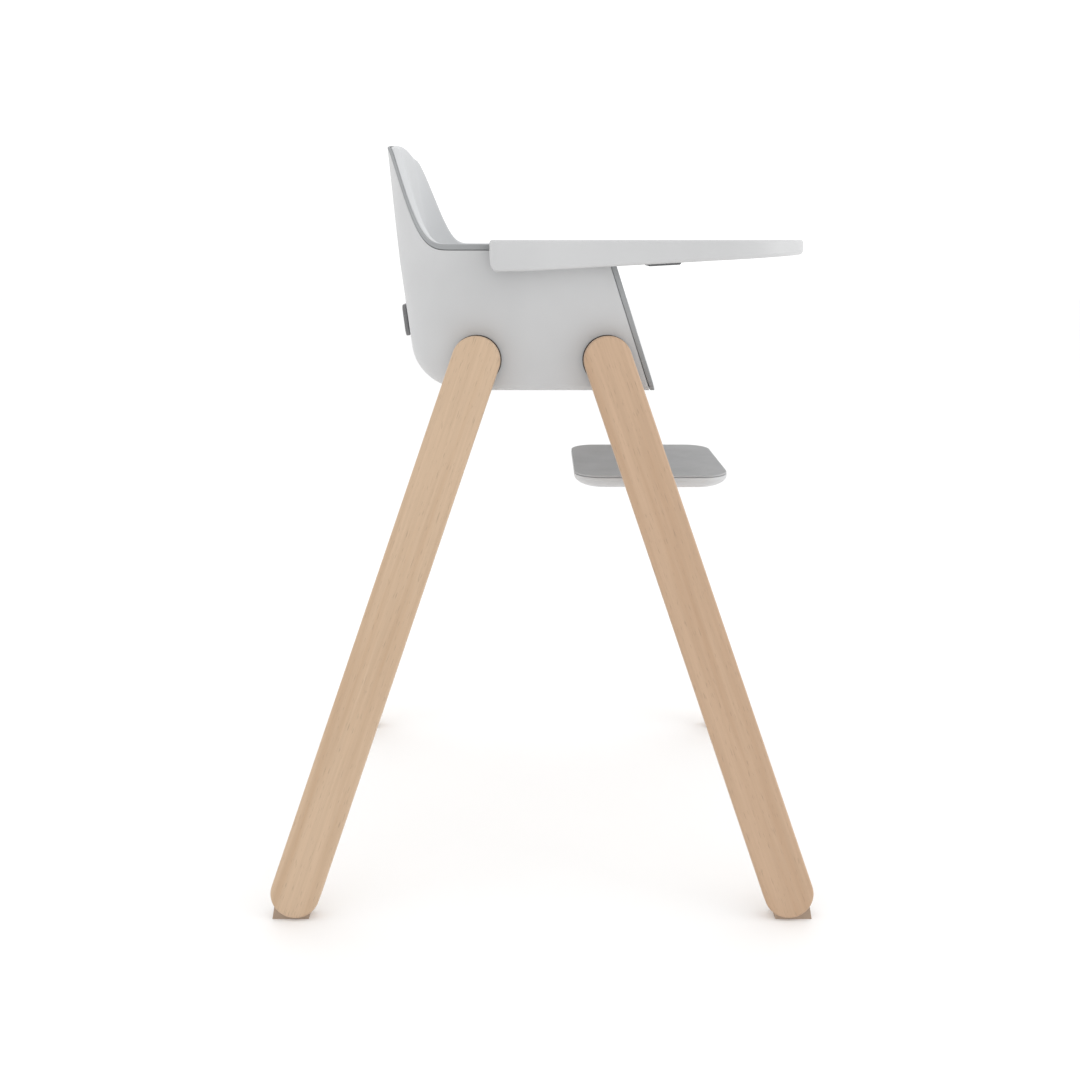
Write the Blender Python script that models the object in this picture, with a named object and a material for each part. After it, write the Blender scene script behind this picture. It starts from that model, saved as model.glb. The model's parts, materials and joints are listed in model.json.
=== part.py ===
"""Baby high chair: moulded seat shell on two folding pairs of wooden legs, with a tray and a footrest.

Metres, +Z up, +X is the chair's front, the floor is Z = 0 and the chair is symmetric about Y = 0.
"""

import math

import bmesh
import bpy
from mathutils import Matrix, Vector

GAP = 0.0003

# Seat shell
SHELL_BOTTOM = 0.6325
SHELL_HALF_WIDTH = 0.184
SHELL_MOST_WIDTH = 0.198
FLARE_LOW, FLARE_HIGH = 0.655, 0.835
BACK_X = -0.1515
BACK_SLOPE = -0.1150
BACK_BULGE = 0.008
FRONT_X = 0.1354
FRONT_SLOPE = -0.3315
RIM_Z = 0.805
RIM_RISE = 0.097
RIM_CROWN = 0.028
RISE_START, RISE_END, RISE_POWER = 12.0, 82.0, 1.5
CORNER_RADIUS = 0.072
CORNER_START = 0.780
CORNER_GROWTH = 0.315
CORNER_SHRINK = 0.6
SHELL_WALL = 0.003
LINER_FACE = 0.014
LINER_WALL = 0.004
SEAT_Z = 0.655
TRIM_DEPTH, TRIM_TOP_DEPTH = 0.0055, 0.0032
TRIM_BAND, TRIM_TOP_BAND = 0.0066, 0.0022
TAPER_START, TAPER_END = 10.0, 72.0
ROLL_DROPS = (0.012, 0.008)

# Legs
PIVOT_X = 0.077
PIVOT_Z = 0.6725
LEG_FACE_Y = 0.213
LEG_LENGTH = 0.6789
LEG_LEAN = math.radians(18.95)
LEG_SPLAY = math.radians(5.18)
LEG_THICK = 0.023
LEG_TOP_RADIUS = 0.0282
LEG_FOOT_RADIUS = 0.0296
PIN_RADIUS = 0.006
PIN_DEPTH = 0.015
HUB_RADIUS = 0.024
GASKET_RADIUS = 0.0294
LINK_THICK = 0.003
LINK_BAR_DROP = 0.0295
LINK_BAR_RADIUS = 0.005
FOOT_HEIGHT = 0.017

# Footrest
TUBE_RADIUS = 0.007
TUBE_Z = 0.501
FOOTREST_REAR, FOOTREST_FRONT = 0.042, 0.2415
FOOTREST_HALF_WIDTH = 0.107
FOOTREST_BOTTOM, FOOTREST_TOP = 0.492, 0.5096
MAT_THICK = 0.0029

# Tray
TRAY_REAR, TRAY_FRONT = -0.060, 0.317
TRAY_HALF_WIDTH = 0.219
TRAY_TOP = 0.810
TRAY_SKIRT_Z = 0.7728
TRAY_SKIRT_SLOPE = 0.0552
TRAY_WALL = 0.004
TRAY_FRONT_RADIUS = 0.100
TRAY_REAR_RADIUS = 0.007
TRAY_HEEL_RADIUS = 0.013
BELLY_RADIUS = 0.125
BELLY_CENTRE = -0.040
RAIL_REAR, RAIL_FRONT = -0.046, 0.064
RAIL_LOW, RAIL_HIGH, RAIL_OUT = 0.7870, 0.8002, 0.2095
RUNNER_REAR = -0.036
RUNNER_LOW, RUNNER_HIGH = 0.7822, 0.8058
RUNNER_TIP, RUNNER_LIP = 0.2000, 0.0042
PAN_REAR, PAN_FRONT, PAN_HALF_WIDTH, PAN_RADIUS = 0.106, 0.308, 0.196, 0.075
PAN_UNDERSIDE, DISH_FLOOR = 0.7972, 0.8006
LEVER_PIN_X, LEVER_PIN_Z = 0.1395, 0.7862
LEVER_PIN_RADIUS = 0.0018
LEVER_HALF_WIDTH = 0.030

# Release handle on the back
HANDLE_Z = 0.7075
HANDLE_HALF_WIDTH = 0.045
HANDLE_HALF_HEIGHT = 0.0205
HANDLE_PIN_UP = 0.0155
HANDLE_PIN_OUT = 0.0053
HANDLE_PIN_RADIUS = 0.0008
EAR_INNER, EAR_OUTER = 0.0290, 0.0350

# Harness
STRAP_HALF_WIDTH = 0.0125
STRAP_THICK = 0.0016
STRAP_Z = SEAT_Z + 0.0006
BUCKLE_X = 0.028
BUCKLE_HALF_LENGTH = 0.022
BUCKLE_HALF_WIDTH = 0.017
BUCKLE_HEIGHT = 0.0125
BUTTON_RADIUS = 0.0085
GUIDE_X = -0.078
GUIDE_Y = 0.118
CROTCH_GUIDE_X = 0.098

COLOURS = {
    "shell_white": ((0.62, 0.63, 0.64), 0.42, 0.0),
    "liner_white": ((0.70, 0.71, 0.72), 0.50, 0.0),
    "trim_grey": ((0.31, 0.32, 0.325), 0.55, 0.0),
    "beech": ((0.60, 0.42, 0.28), 0.55, 0.0),
    "dark_plastic": ((0.17, 0.17, 0.175), 0.5, 0.0),
    "steel": ((0.55, 0.55, 0.57), 0.35, 1.0),
    "foot_rubber": ((0.38, 0.285, 0.215), 0.8, 0.0),
    "mat_rubber": ((0.47, 0.475, 0.48), 0.75, 0.0),
    "tray_white": ((0.66, 0.67, 0.68), 0.38, 0.0),
    "webbing": ((0.13, 0.13, 0.14), 0.9, 0.0),
}


# ---------------------------------------------------------------- helpers


def clear_scene():
    for obj in list(bpy.data.objects):
        bpy.data.objects.remove(obj, do_unlink=True)


def material(name):
    found = bpy.data.materials.get(name)
    if found:
        return found
    made = bpy.data.materials.new(name)
    made.use_nodes = True
    colour, roughness, metallic = COLOURS[name]
    shader = made.node_tree.nodes["Principled BSDF"]
    shader.inputs["Base Color"].default_value = (*colour, 1.0)
    shader.inputs["Roughness"].default_value = roughness
    shader.inputs["Metallic"].default_value = metallic
    return made


def add_mesh(name, points, faces, finish, parent=None, smooth=True):
    """One closed mesh with its faces turned outwards, given in world space."""
    mesh = bpy.data.meshes.new(name)
    origin = parent.location.copy() if parent else Vector((0, 0, 0))
    mesh.from_pydata([Vector(p) - origin for p in points], [], faces)
    work = bmesh.new()
    work.from_mesh(mesh)
    bmesh.ops.recalc_face_normals(work, faces=work.faces)
    work.to_mesh(mesh)
    work.free()
    if smooth:
        mesh.shade_smooth()
        mesh.set_sharp_from_angle(angle=math.radians(32))
    mesh.materials.append(material(finish))
    obj = bpy.data.objects.new(name, mesh)
    bpy.context.scene.collection.objects.link(obj)
    if parent:
        obj.parent = parent
    return obj


def add_empty(name, place):
    """An empty on a joint's axis, which carries the pieces that move together."""
    empty = bpy.data.objects.new(name, None)
    empty.empty_display_size = 0.02
    empty.location = place
    bpy.context.scene.collection.objects.link(empty)
    return empty


def loft(rings):
    """Points and faces of a solid through closed rings of equal length, capped at both ends."""
    count = len(rings[0])
    points = [p for ring in rings for p in ring]
    faces = []
    for r in range(len(rings) - 1):
        for i in range(count):
            j = (i + 1) % count
            faces.append((r * count + i, r * count + j, (r + 1) * count + j, (r + 1) * count + i))
    faces.append(tuple(range(count))[::-1])
    faces.append(tuple(range((len(rings) - 1) * count, len(rings) * count)))
    return points, faces


def prism(outline, axis, low, high):
    """Points and faces of a flat outline extruded along one axis: 'y' takes (x, z), 'x' (y, z), 'z' (x, y)."""
    place = {
        "x": lambda a, b, t: (t, a, b),
        "y": lambda a, b, t: (a, t, b),
        "z": lambda a, b, t: (a, b, t),
    }[axis]
    return loft([[place(a, b, t) for a, b in outline] for t in (low, high)])


def box(low, high):
    outline = [(low[0], low[1]), (high[0], low[1]), (high[0], high[1]), (low[0], high[1])]
    return prism(outline, "z", low[2], high[2])


def circle(x, y, radius, steps=24):
    turn = 2 * math.pi / steps
    return [(x + radius * math.cos(i * turn), y + radius * math.sin(i * turn)) for i in range(steps)]


def rounded(low, high, radius, steps=4):
    """A rectangle with round corners, as (a, b) points."""
    corners = [
        (high[0] - radius, high[1] - radius, 0),
        (low[0] + radius, high[1] - radius, 90),
        (low[0] + radius, low[1] + radius, 180),
        (high[0] - radius, low[1] + radius, 270),
    ]
    outline = []
    for a, b, start in corners:
        for i in range(steps + 1):
            angle = math.radians(start + 90 * i / steps)
            outline.append((a + radius * math.cos(angle), b + radius * math.sin(angle)))
    return outline


def moved(shape, matrix):
    points, faces = shape
    return [matrix @ Vector(p) for p in points], faces


def add_bevel(obj, width, segments=2, angle=40):
    bevel = obj.modifiers.new("Bevel", "BEVEL")
    bevel.width = width
    bevel.segments = segments
    bevel.limit_method = "ANGLE"
    bevel.angle_limit = math.radians(angle)
    return bevel


def combine(obj, shape, name, operation="DIFFERENCE"):
    """Cuts a hidden helper shape from an object, or joins it on."""
    helper = add_mesh(name, *shape, "steel", smooth=False)
    helper.hide_render = True
    helper.display_type = "WIRE"
    cut = obj.modifiers.new(name, "BOOLEAN")
    cut.operation = operation
    cut.solver = "EXACT"
    cut.object = helper
    return helper


# ---------------------------------------------------------------- seat


def smooth_step(low, high, value):
    t = min(max((value - low) / (high - low), 0.0), 1.0)
    return t * t * (3 - 2 * t)


def inward(radius, height):
    """How far a rounded bottom edge of this radius pulls in at a height above the bottom."""
    if radius <= 0 or height >= radius:
        return 0.0
    reach = radius - max(height, 0.0)
    return radius - math.sqrt(radius * radius - reach * reach)


SIDE_STEPS = (0.0, 0.02, 0.045, 0.08, 0.14, 0.35, 0.6, 0.8, 1.0)
FRONT_DROPS = (0.018, 0.0096, 0.0045, 0.001)
ARC_STEPS = 9
BACK_STEPS = 6


def columns():
    """Stations along the wall, from the front edge on the -Y side round the back to the +Y side."""
    side = [("side", s) for s in SIDE_STEPS]
    arc = [("arc", 90 * i / ARC_STEPS) for i in range(1, ARC_STEPS)]
    back = [("back", -1 + 2 * i / BACK_STEPS) for i in range(BACK_STEPS + 1)]
    right = [(kind, t, -1) for kind, t in side + arc]
    middle = [(kind, t, 1) for kind, t in back]
    left = [(kind, t, 1) for kind, t in (side + arc)[::-1]]
    return right + middle + left


def half_width(z):
    """Half the shell's width, which flares towards the rim."""
    flare = smooth_step(FLARE_LOW, FLARE_HIGH, z)
    return SHELL_HALF_WIDTH + (SHELL_MOST_WIDTH - SHELL_HALF_WIDTH) * flare


def corner_radius(z):
    return CORNER_RADIUS + max(z - CORNER_START, 0.0) * CORNER_GROWTH


def wall_point(column, z, offset, surface, inset=0.0):
    """A point on the wall: offset is how far inside the outer face, inset how far behind the front edge."""
    kind, t, side = column
    bottom, back_round, side_round = surface
    height = z - bottom
    width = half_width(z) - offset - inward(side_round, height)
    pull = inward(back_round, height)
    back = BACK_X + (z - SHELL_BOTTOM) * BACK_SLOPE + offset + pull
    radius = corner_radius(z) - offset - CORNER_SHRINK * pull
    front = FRONT_X + (z - SHELL_BOTTOM) * FRONT_SLOPE - inset
    start = back + radius
    if kind == "side":
        return (front + t * (start - front), side * width, z)
    if kind == "arc":
        angle = math.radians(t)
        x = start - radius * math.sin(angle)
        y = width - radius + radius * math.cos(angle)
        return (x - BACK_BULGE * bulge(y, width) * (t / 90) ** 2, side * y, z)
    y = t * (width - radius)
    return (back - BACK_BULGE * bulge(y, width), y, z)


def bulge(y, width):
    return 1 - (y / width) ** 2


def rim_height(column, drop_share=1.0):
    """The rim: level along the armrests, rising round the corners to the top of the back."""
    kind, t, _ = column
    if kind == "side":
        index = SIDE_STEPS.index(t)
        return RIM_Z - (FRONT_DROPS[index] * drop_share if index < len(FRONT_DROPS) else 0.0)
    angle = t if kind == "arc" else 90.0
    share = min(max((angle - RISE_START) / (RISE_END - RISE_START), 0.0), 1.0)
    rise = smooth_step(0.0, 1.0, share**RISE_POWER)
    radius = corner_radius(RIM_Z + 0.75 * RIM_RISE)
    across = SHELL_MOST_WIDTH - radius
    y = across + radius * math.cos(math.radians(angle)) if kind == "arc" else t * across
    return RIM_Z + rise * (RIM_RISE + RIM_CROWN * bulge(y, SHELL_MOST_WIDTH))


ROUND_ANGLES = (0, 18, 36, 54, 72, 90)
WALL_SHARES = (0.25, 0.5, 0.75)


def heights(top, surface, extra=()):
    """Heights of the wall's rows in one column: through the bottom rounding, then up to the rim."""
    bottom, back_round, side_round = surface
    radius = max(back_round, side_round)
    low = [bottom + radius * (1 - math.cos(math.radians(a))) for a in ROUND_ANGLES]
    high = top - (extra[0] if extra else 0.0)
    middle = [low[-1] + (high - low[-1]) * share for share in WALL_SHARES]
    return low + middle + [top - drop for drop in extra] + [top]


def tub(outer, inner):
    """A thin open tub: outer and inner are grids of points, rows from the bottom up, columns round the wall."""
    rows, cols = len(outer), len(outer[0])
    points = [p for grid in (outer, inner) for row in grid for p in row]

    def at(grid, r, c):
        return grid * rows * cols + r * cols + c

    faces = []
    for grid in (0, 1):
        for r in range(rows - 1):
            for c in range(cols - 1):
                faces.append((at(grid, r, c), at(grid, r, c + 1), at(grid, r + 1, c + 1), at(grid, r + 1, c)))
        faces.append(tuple(at(grid, 0, c) for c in range(cols)))
    for c in range(cols - 1):
        faces.append((at(0, rows - 1, c), at(0, rows - 1, c + 1), at(1, rows - 1, c + 1), at(1, rows - 1, c)))
    for c in (0, cols - 1):
        for r in range(rows - 1):
            faces.append((at(0, r, c), at(0, r + 1, c), at(1, r + 1, c), at(1, r, c)))
    faces.append((at(0, 0, 0), at(0, 0, cols - 1), at(1, 0, cols - 1), at(1, 0, 0)))
    return points, faces


OUTER_SURFACE = (SHELL_BOTTOM, 0.046, 0.007)
LINER_SURFACE = (SEAT_Z - LINER_WALL, 0.034, 0.024)


def wall_grid(surface, offset, inset=0.0, top=rim_height, extra=()):
    """Rows of points over one face of the wall. offset is a number, or a function of column and row from the top."""
    made = []
    for column in columns():
        tall = heights(top(column), surface, extra)
        place = offset if callable(offset) else lambda column, below: offset
        made.append(
            [wall_point(column, z, place(column, len(tall) - 1 - r), surface, inset) for r, z in enumerate(tall)]
        )
    return [list(row) for row in zip(*made)]


def thinned(column, full, thin):
    """A size of the trim, which shrinks from full along the armrests to thin at the top of the back."""
    kind, t, _ = column
    angle = {"side": 0.0, "arc": t, "back": 90.0}[kind]
    return full + (thin - full) * smooth_step(TAPER_START, TAPER_END, angle)


def trim_band(column):
    return thinned(column, TRIM_BAND, TRIM_TOP_BAND)


def trim_depth(column):
    return thinned(column, TRIM_DEPTH, TRIM_TOP_DEPTH)


def shell_top(column):
    """The shell's own upper edge, just under the trim."""
    return rim_height(column, 0.62) - trim_band(column) - 2 * GAP


def build_shell():
    inset = TRIM_BAND + 2 * GAP
    outer = wall_grid(OUTER_SURFACE, 0.0, inset, shell_top)
    inner_surface = (SHELL_BOTTOM + SHELL_WALL, 0.043, 0.004)
    inner = wall_grid(inner_surface, SHELL_WALL, inset, shell_top)
    shell = add_mesh("seat_shell", *tub(outer, inner), "shell_white")
    for x in (-PIVOT_X, PIVOT_X):
        hole = [(x + a, PIVOT_Z + b) for a, b in circle(0, 0, PIN_RADIUS + 0.0038)]
        combine(shell, prism(hole, "y", -0.25, 0.25), "shell_hole_%s" % ("rear" if x < 0 else "front"))
    return shell


def liner_offset(column, below):
    """The liner's hidden face swells to meet the trim along the rim and the front edge."""
    near_front = column[0] == "side" and column[1] <= SIDE_STEPS[2]
    return trim_depth(column) + 2 * GAP if near_front or below <= 1 else LINER_FACE - LINER_WALL


def build_liner():
    outer = wall_grid(LINER_SURFACE, liner_offset, extra=ROLL_DROPS)
    inner_surface = (SEAT_Z, 0.030, 0.020)
    inner = wall_grid(inner_surface, LINER_FACE, extra=ROLL_DROPS)
    liner = add_mesh("seat_liner", *tub(outer, inner), "liner_white")
    slot = STRAP_HALF_WIDTH + 0.0015
    for y in (-GUIDE_Y, GUIDE_Y):
        low = (GUIDE_X - 0.0022, y - slot, 0.645)
        combine(liner, box(low, (GUIDE_X + 0.0022, y + slot, 0.665)), "waist_slot_%s" % ("r" if y < 0 else "l"))
    low = (CROTCH_GUIDE_X - 0.0022, -slot, 0.645)
    combine(liner, box(low, (CROTCH_GUIDE_X + 0.0022, slot, 0.665)), "crotch_slot")
    return liner


def trim_stations():
    """Cross-sections of the trim: up one front edge, round the rim and down the other front edge."""
    stations = []
    wall = columns()
    first, last = wall[0], wall[-1]
    shares = ((1.0, 0.0), (0.7, 0.7), (0.45, 0.9), (0.2, 0.98))

    def front_run(column):
        top = rim_height(column)
        outer_z = heights(top, OUTER_SURFACE)
        inner_z = heights(top, LINER_SURFACE)
        inner_z[0] -= GAP
        run = []
        for z_out, z_in in zip(outer_z, inner_z):
            reach = TRIM_DEPTH + 2 * GAP
            out = wall_point(column, z_out, 0.0, OUTER_SURFACE)
            near = wall_point(column, z_in, reach, LINER_SURFACE)
            near = (near[0], near[1] + column[2] * GAP, near[2])
            run.append([out, near, (near[0] - TRIM_BAND, *near[1:]), (out[0] - TRIM_BAND, *out[1:])])
        return run

    stations += front_run(first)
    for column in wall[1:-1]:
        top = rim_height(column)
        index = SIDE_STEPS.index(column[1]) if column[0] == "side" else len(shares)
        back, down = shares[index] if index < len(shares) else (0.0, 1.0)
        section = []
        depth = trim_depth(column)
        for offset, deep in ((0.0, 0), (depth, 0), (depth, 1), (0.0, 1)):
            z = top - deep * down * trim_band(column)
            x, y, z = wall_point(column, z, offset, OUTER_SURFACE)
            section.append((x - deep * back * TRIM_BAND, y, z))
        stations.append(section)
    stations += front_run(last)[::-1]
    return stations


def build_trim():
    stations = trim_stations()
    count = len(stations)
    points = [p for section in stations for p in section]
    faces = []
    for s in range(count):
        after = (s + 1) % count
        for k in range(4):
            j = (k + 1) % 4
            faces.append((4 * s + k, 4 * after + k, 4 * after + j, 4 * s + j))
    return add_mesh("rim_trim", points, faces, "trim_grey")


# ---------------------------------------------------------------- legs


def stadium(top, foot, length, steps=14):
    """An (x, z) outline with a round top about the origin and a round end at -length."""
    outline = []
    for i in range(steps + 1):
        angle = math.pi * i / steps
        outline.append((top * math.cos(angle), top * math.sin(angle)))
    for i in range(steps + 1):
        angle = math.pi + math.pi * i / steps
        outline.append((foot * math.cos(angle), foot * math.sin(angle) - length))
    return outline


def leg_matrix(end, side):
    """Leg space to world: origin on the outer face at the pivot, Z up the leg, +Y towards the chair's middle."""
    place = Matrix.Translation((end * PIVOT_X, side * LEG_FACE_Y, PIVOT_Z))
    splay = Matrix.Rotation(side * LEG_SPLAY, 4, "X")
    lean = Matrix.Rotation(-end * LEG_LEAN, 4, "Y")
    turn = Matrix.Scale(-side, 4, (0, 1, 0))
    return place @ splay @ lean @ turn


def leg_shape(end, side, grow=0.0, low=0.0, high=LEG_THICK):
    outline = stadium(LEG_TOP_RADIUS + grow, LEG_FOOT_RADIUS + grow, LEG_LENGTH)
    return moved(prism(outline, "y", low, high), leg_matrix(end, side))


def side_word(side):
    return "right" if side < 0 else "left"


def build_leg(end, side, name, parent):
    leg = add_mesh(name, *leg_shape(end, side), "beech", parent)
    add_bevel(leg, 0.003)
    bore = circle(end * PIVOT_X, PIVOT_Z, PIN_RADIUS + GAP)
    inner = LEG_FACE_Y - LEG_THICK
    reach = sorted((side * (inner - 0.01), side * (inner + PIN_DEPTH + 0.001)))
    combine(leg, prism(bore, "y", *reach), name + "_bore")
    if end > 0:
        tube_y = tube_end()
        reach = sorted((side * (tube_y - 0.03), side * (tube_y + GAP)))
        bore = circle(tube_x(), TUBE_Z, TUBE_RADIUS + GAP)
        combine(leg, prism(bore, "y", *reach), name + "_tube_bore")
    return leg


def foot_outline():
    """The (x, z) outline of a front foot; the leg's round end is cut from it."""
    x = PIVOT_X + LEG_LENGTH * math.sin(LEG_LEAN)
    return [(x - 0.0155, 0.0), (x + 0.0285, 0.0), (x + 0.0255, FOOT_HEIGHT), (x - 0.0160, 0.0100)]


def build_foot(end, side, name, parent):
    outline = [(end * x, z) for x, z in foot_outline()]
    outer = LEG_FACE_Y + (PIVOT_Z - 0.02) * math.tan(LEG_SPLAY)
    reach = sorted((side * (outer - 0.0035), side * (outer - 0.0245)))
    foot = add_mesh(name, *prism(outline, "y", *reach), "foot_rubber", parent)
    combine(foot, leg_shape(end, side, 0.0004, -0.01, LEG_THICK + 0.02), name + "_seat")
    return foot


def build_hub(end, side, name, parent):
    """A thin spacer ring between the leg's round top and the shell, whose lip shows as a dark line round the leg."""
    low = LEG_THICK + GAP
    levels = ((low, GASKET_RADIUS), (low + 0.0005, GASKET_RADIUS), (low + 0.0012, HUB_RADIUS))
    rings = [[(x, y, z) for x, z in circle(0, 0, radius, 40)] for y, radius in levels]
    disc = moved(loft(rings), leg_matrix(end, side))
    hub = add_mesh(name, *disc, "dark_plastic", parent)
    hole = circle(end * PIVOT_X, PIVOT_Z, PIN_RADIUS + 0.0105)
    reach = sorted((side * 0.17, side * 0.205))
    combine(hub, prism(hole, "y", *reach), name + "_hole")
    return hub


def link_face():
    """Distance from the middle plane to the outer face of a link plate, level with the pivot."""
    return half_width(PIVOT_Z) - SHELL_WALL - 0.0029


def build_pin(end, side, name, parent):
    outline = circle(end * PIVOT_X, PIVOT_Z, PIN_RADIUS)
    reach = sorted((side * (link_face() - LINK_THICK - GAP), side * (LEG_FACE_Y - LEG_THICK + PIN_DEPTH)))
    return add_mesh(name, *prism(outline, "y", *reach), "steel", parent)


def build_link(end, side, name, parent):
    """A flat steel plate inside the shell's double wall, from the pivot pin down to the cross bar."""
    outline = stadium(0.0105, 0.0048, LINK_BAR_DROP)
    place = Matrix.Translation((end * PIVOT_X, side * link_face(), PIVOT_Z))
    turn = Matrix.Scale(-side, 4, (0, 1, 0))
    shape = moved(prism(outline, "y", 0, LINK_THICK), place @ turn)
    link = add_mesh(name, *shape, "steel", parent)
    hole = circle(end * PIVOT_X, PIVOT_Z, PIN_RADIUS + GAP)
    reach = sorted((side * 0.16, side * 0.20))
    combine(link, prism(hole, "y", *reach), name + "_hole")
    return link


def build_cross_bar(end, name, parent):
    """The bar under the seat that makes one body of the pair; it stops just short of the link plates."""
    z = PIVOT_Z - LINK_BAR_DROP
    reach = link_face() - LINK_THICK - GAP
    return add_mesh(
        name, *prism(circle(end * PIVOT_X, z, LINK_BAR_RADIUS, 16), "y", -reach, reach), "steel", parent
    )


def build_bush(end, side, name):
    """A flanged plastic bearing in the shell's wall, flange outside, bored for the pivot pin."""
    face = half_width(PIVOT_Z)
    levels = (
        (face - 0.0034, PIN_RADIUS + 0.0035),
        (face + 0.0011, PIN_RADIUS + 0.0035),
        (face + 0.0011, PIN_RADIUS + 0.0095),
        (face + 0.0028, PIN_RADIUS + 0.0090),
    )
    rings = [[(x, side * y, z) for x, z in circle(end * PIVOT_X, PIVOT_Z, radius)] for y, radius in levels]
    bush = add_mesh(name, *loft(rings), "dark_plastic")
    hole = circle(end * PIVOT_X, PIVOT_Z, PIN_RADIUS + GAP)
    low, high = sorted((side * 0.17, side * 0.20))
    combine(bush, prism(hole, "y", low, high), name + "_hole")
    return bush


def build_leg_pair(end, word):
    parent = add_empty(word + "_fold_axis", (end * PIVOT_X, 0, PIVOT_Z))
    for side in (-1, 1):
        where = "%s_%s" % (word, side_word(side))
        build_leg(end, side, where + "_leg", parent)
        build_foot(end, side, where + "_foot", parent)
        build_hub(end, side, where + "_spacer", parent)
        build_pin(end, side, where + "_pivot_pin", parent)
        build_link(end, side, where + "_link", parent)
        build_bush(end, side, where + "_bush")
    build_cross_bar(end, word + "_cross_bar", parent)
    return parent


# ---------------------------------------------------------------- footrest


def tube_x():
    return PIVOT_X + (PIVOT_Z - TUBE_Z) * math.tan(LEG_LEAN) / math.cos(LEG_SPLAY)


def tube_end():
    """How far the tube reaches from the middle plane, into the blind holes of both front legs."""
    return LEG_FACE_Y - LEG_THICK + (PIVOT_Z - TUBE_Z) * math.tan(LEG_SPLAY) + 0.010


def plate_outline(shrink, radius):
    low = (FOOTREST_REAR + shrink, -FOOTREST_HALF_WIDTH + shrink)
    high = (FOOTREST_FRONT - shrink, FOOTREST_HALF_WIDTH - shrink)
    return rounded(low, high, radius, 5)


def build_footrest(front_legs):
    tube = prism(circle(tube_x(), TUBE_Z, TUBE_RADIUS, 20), "y", -tube_end(), tube_end())
    add_mesh("footrest_tube", *tube, "steel", front_legs)
    parent = add_empty("footrest_axis", (tube_x(), 0, TUBE_Z))
    rings = []
    reach, depth = 0.030, FOOTREST_TOP - FOOTREST_BOTTOM
    for angle in (0, 18, 36, 54, 72, 90):
        turn = math.radians(angle)
        z = FOOTREST_BOTTOM + depth * (1 - math.cos(turn)) * 0.86
        shrink = reach * (1 - math.sin(turn))
        rings.append([(x, y, z) for x, y in plate_outline(shrink, 0.034 - shrink * 0.6)])
    rings.append([(x, y, FOOTREST_TOP) for x, y in plate_outline(0.0, 0.034)])
    base = add_mesh("footrest_base", *loft(rings), "tray_white", parent)
    bore = circle(tube_x(), TUBE_Z, TUBE_RADIUS + GAP, 20)
    combine(base, prism(bore, "y", -0.15, 0.15), "footrest_bore")
    low = FOOTREST_TOP + GAP
    levels = ((0.0012, 0.0), (0.0004, 0.0008), (0.0004, 0.0019), (0.0014, MAT_THICK))
    rings = [[(x, y, low + up) for x, y in plate_outline(s, 0.034 - s)] for s, up in levels]
    add_mesh("footrest_mat", *loft(rings), "mat_rubber", parent)


# ---------------------------------------------------------------- tray


def tray_outline(offset, steps=10):
    """The (x, y) outline of the tray with its belly cut-out, pulled in by offset."""
    front, rear = TRAY_FRONT - offset, TRAY_REAR + offset
    width, belly = TRAY_HALF_WIDTH - offset, BELLY_RADIUS + offset
    big, small, nose = TRAY_FRONT_RADIUS - offset, TRAY_REAR_RADIUS - offset, 0.016 - offset
    half = []

    def arc(x, y, radius, start, end, count):
        for i in range(count + 1):
            angle = math.radians(start + (end - start) * i / count)
            half.append((x + radius * math.cos(angle), y + radius * math.sin(angle)))

    arc(front - big, width - big, big, 0, 90, steps)
    for x in (0.15, 0.09, 0.02):
        half.append((x, width))
    arc(rear + small, width - small, small, 90, 180, 5)
    arc(rear + nose, belly + nose, nose, 180, 270, 4)
    arc(BELLY_CENTRE, 0.0, belly, 90, 9, 8)
    other = [(x, -y) for x, y in half[::-1]]
    return half + other


def skirt_z(x, y):
    """The skirt's lower edge: a slant with a round heel along the sides, and a short lip round the belly cut-out."""
    if x < 0.095 and abs(y) < BELLY_RADIUS + 0.0165:
        return TRAY_TOP - 0.016
    heel = inward(TRAY_HEEL_RADIUS, x - TRAY_REAR)
    return TRAY_SKIRT_Z + (x - 0.009 - TRAY_REAR) * TRAY_SKIRT_SLOPE + heel


def pan_outline(shrink):
    low = (PAN_REAR + shrink, -PAN_HALF_WIDTH + shrink)
    high = (PAN_FRONT - shrink, PAN_HALF_WIDTH - shrink)
    return rounded(low, high, PAN_RADIUS - shrink, 7)


def build_tray_body(parent):
    levels = (
        (0.0032, 0.0, 1),
        (0.0008, 0.0012, 1),
        (0.0, 0.0045, 1),
        (0.0, -0.0050, 0),
        (0.0010, -0.0014, 0),
        (0.0036, 0.0, 0),
    )
    rings = []
    for offset, up, hanging in levels:
        edge = skirt_z if hanging else lambda x, y: TRAY_TOP
        rings.append([(x, y, edge(x, y) + up) for x, y in tray_outline(offset)])
    tray = add_mesh("tray_body", *loft(rings), "tray_white", parent)
    hollow = [[(x, y, z) for x, y in tray_outline(TRAY_WALL)] for z in (0.74, TRAY_TOP - 0.0038)]
    combine(tray, loft(hollow), "tray_hollow")
    combine(tray, box((-0.070, -0.2125, 0.74), (-0.030, 0.2125, TRAY_TOP - 0.0038)), "tray_arm_gap")
    combine(tray, prism(pan_outline(0.0), "z", PAN_UNDERSIDE, TRAY_TOP - 0.002), "tray_pan", "UNION")
    levels = ((DISH_FLOOR, 0.012), (DISH_FLOOR + 0.0014, 0.0075), (TRAY_TOP + 0.004, 0.004))
    dish = [[(x, y, z) for x, y in pan_outline(shrink)] for z, shrink in levels]
    combine(tray, loft(dish), "tray_dish")
    return tray


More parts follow.
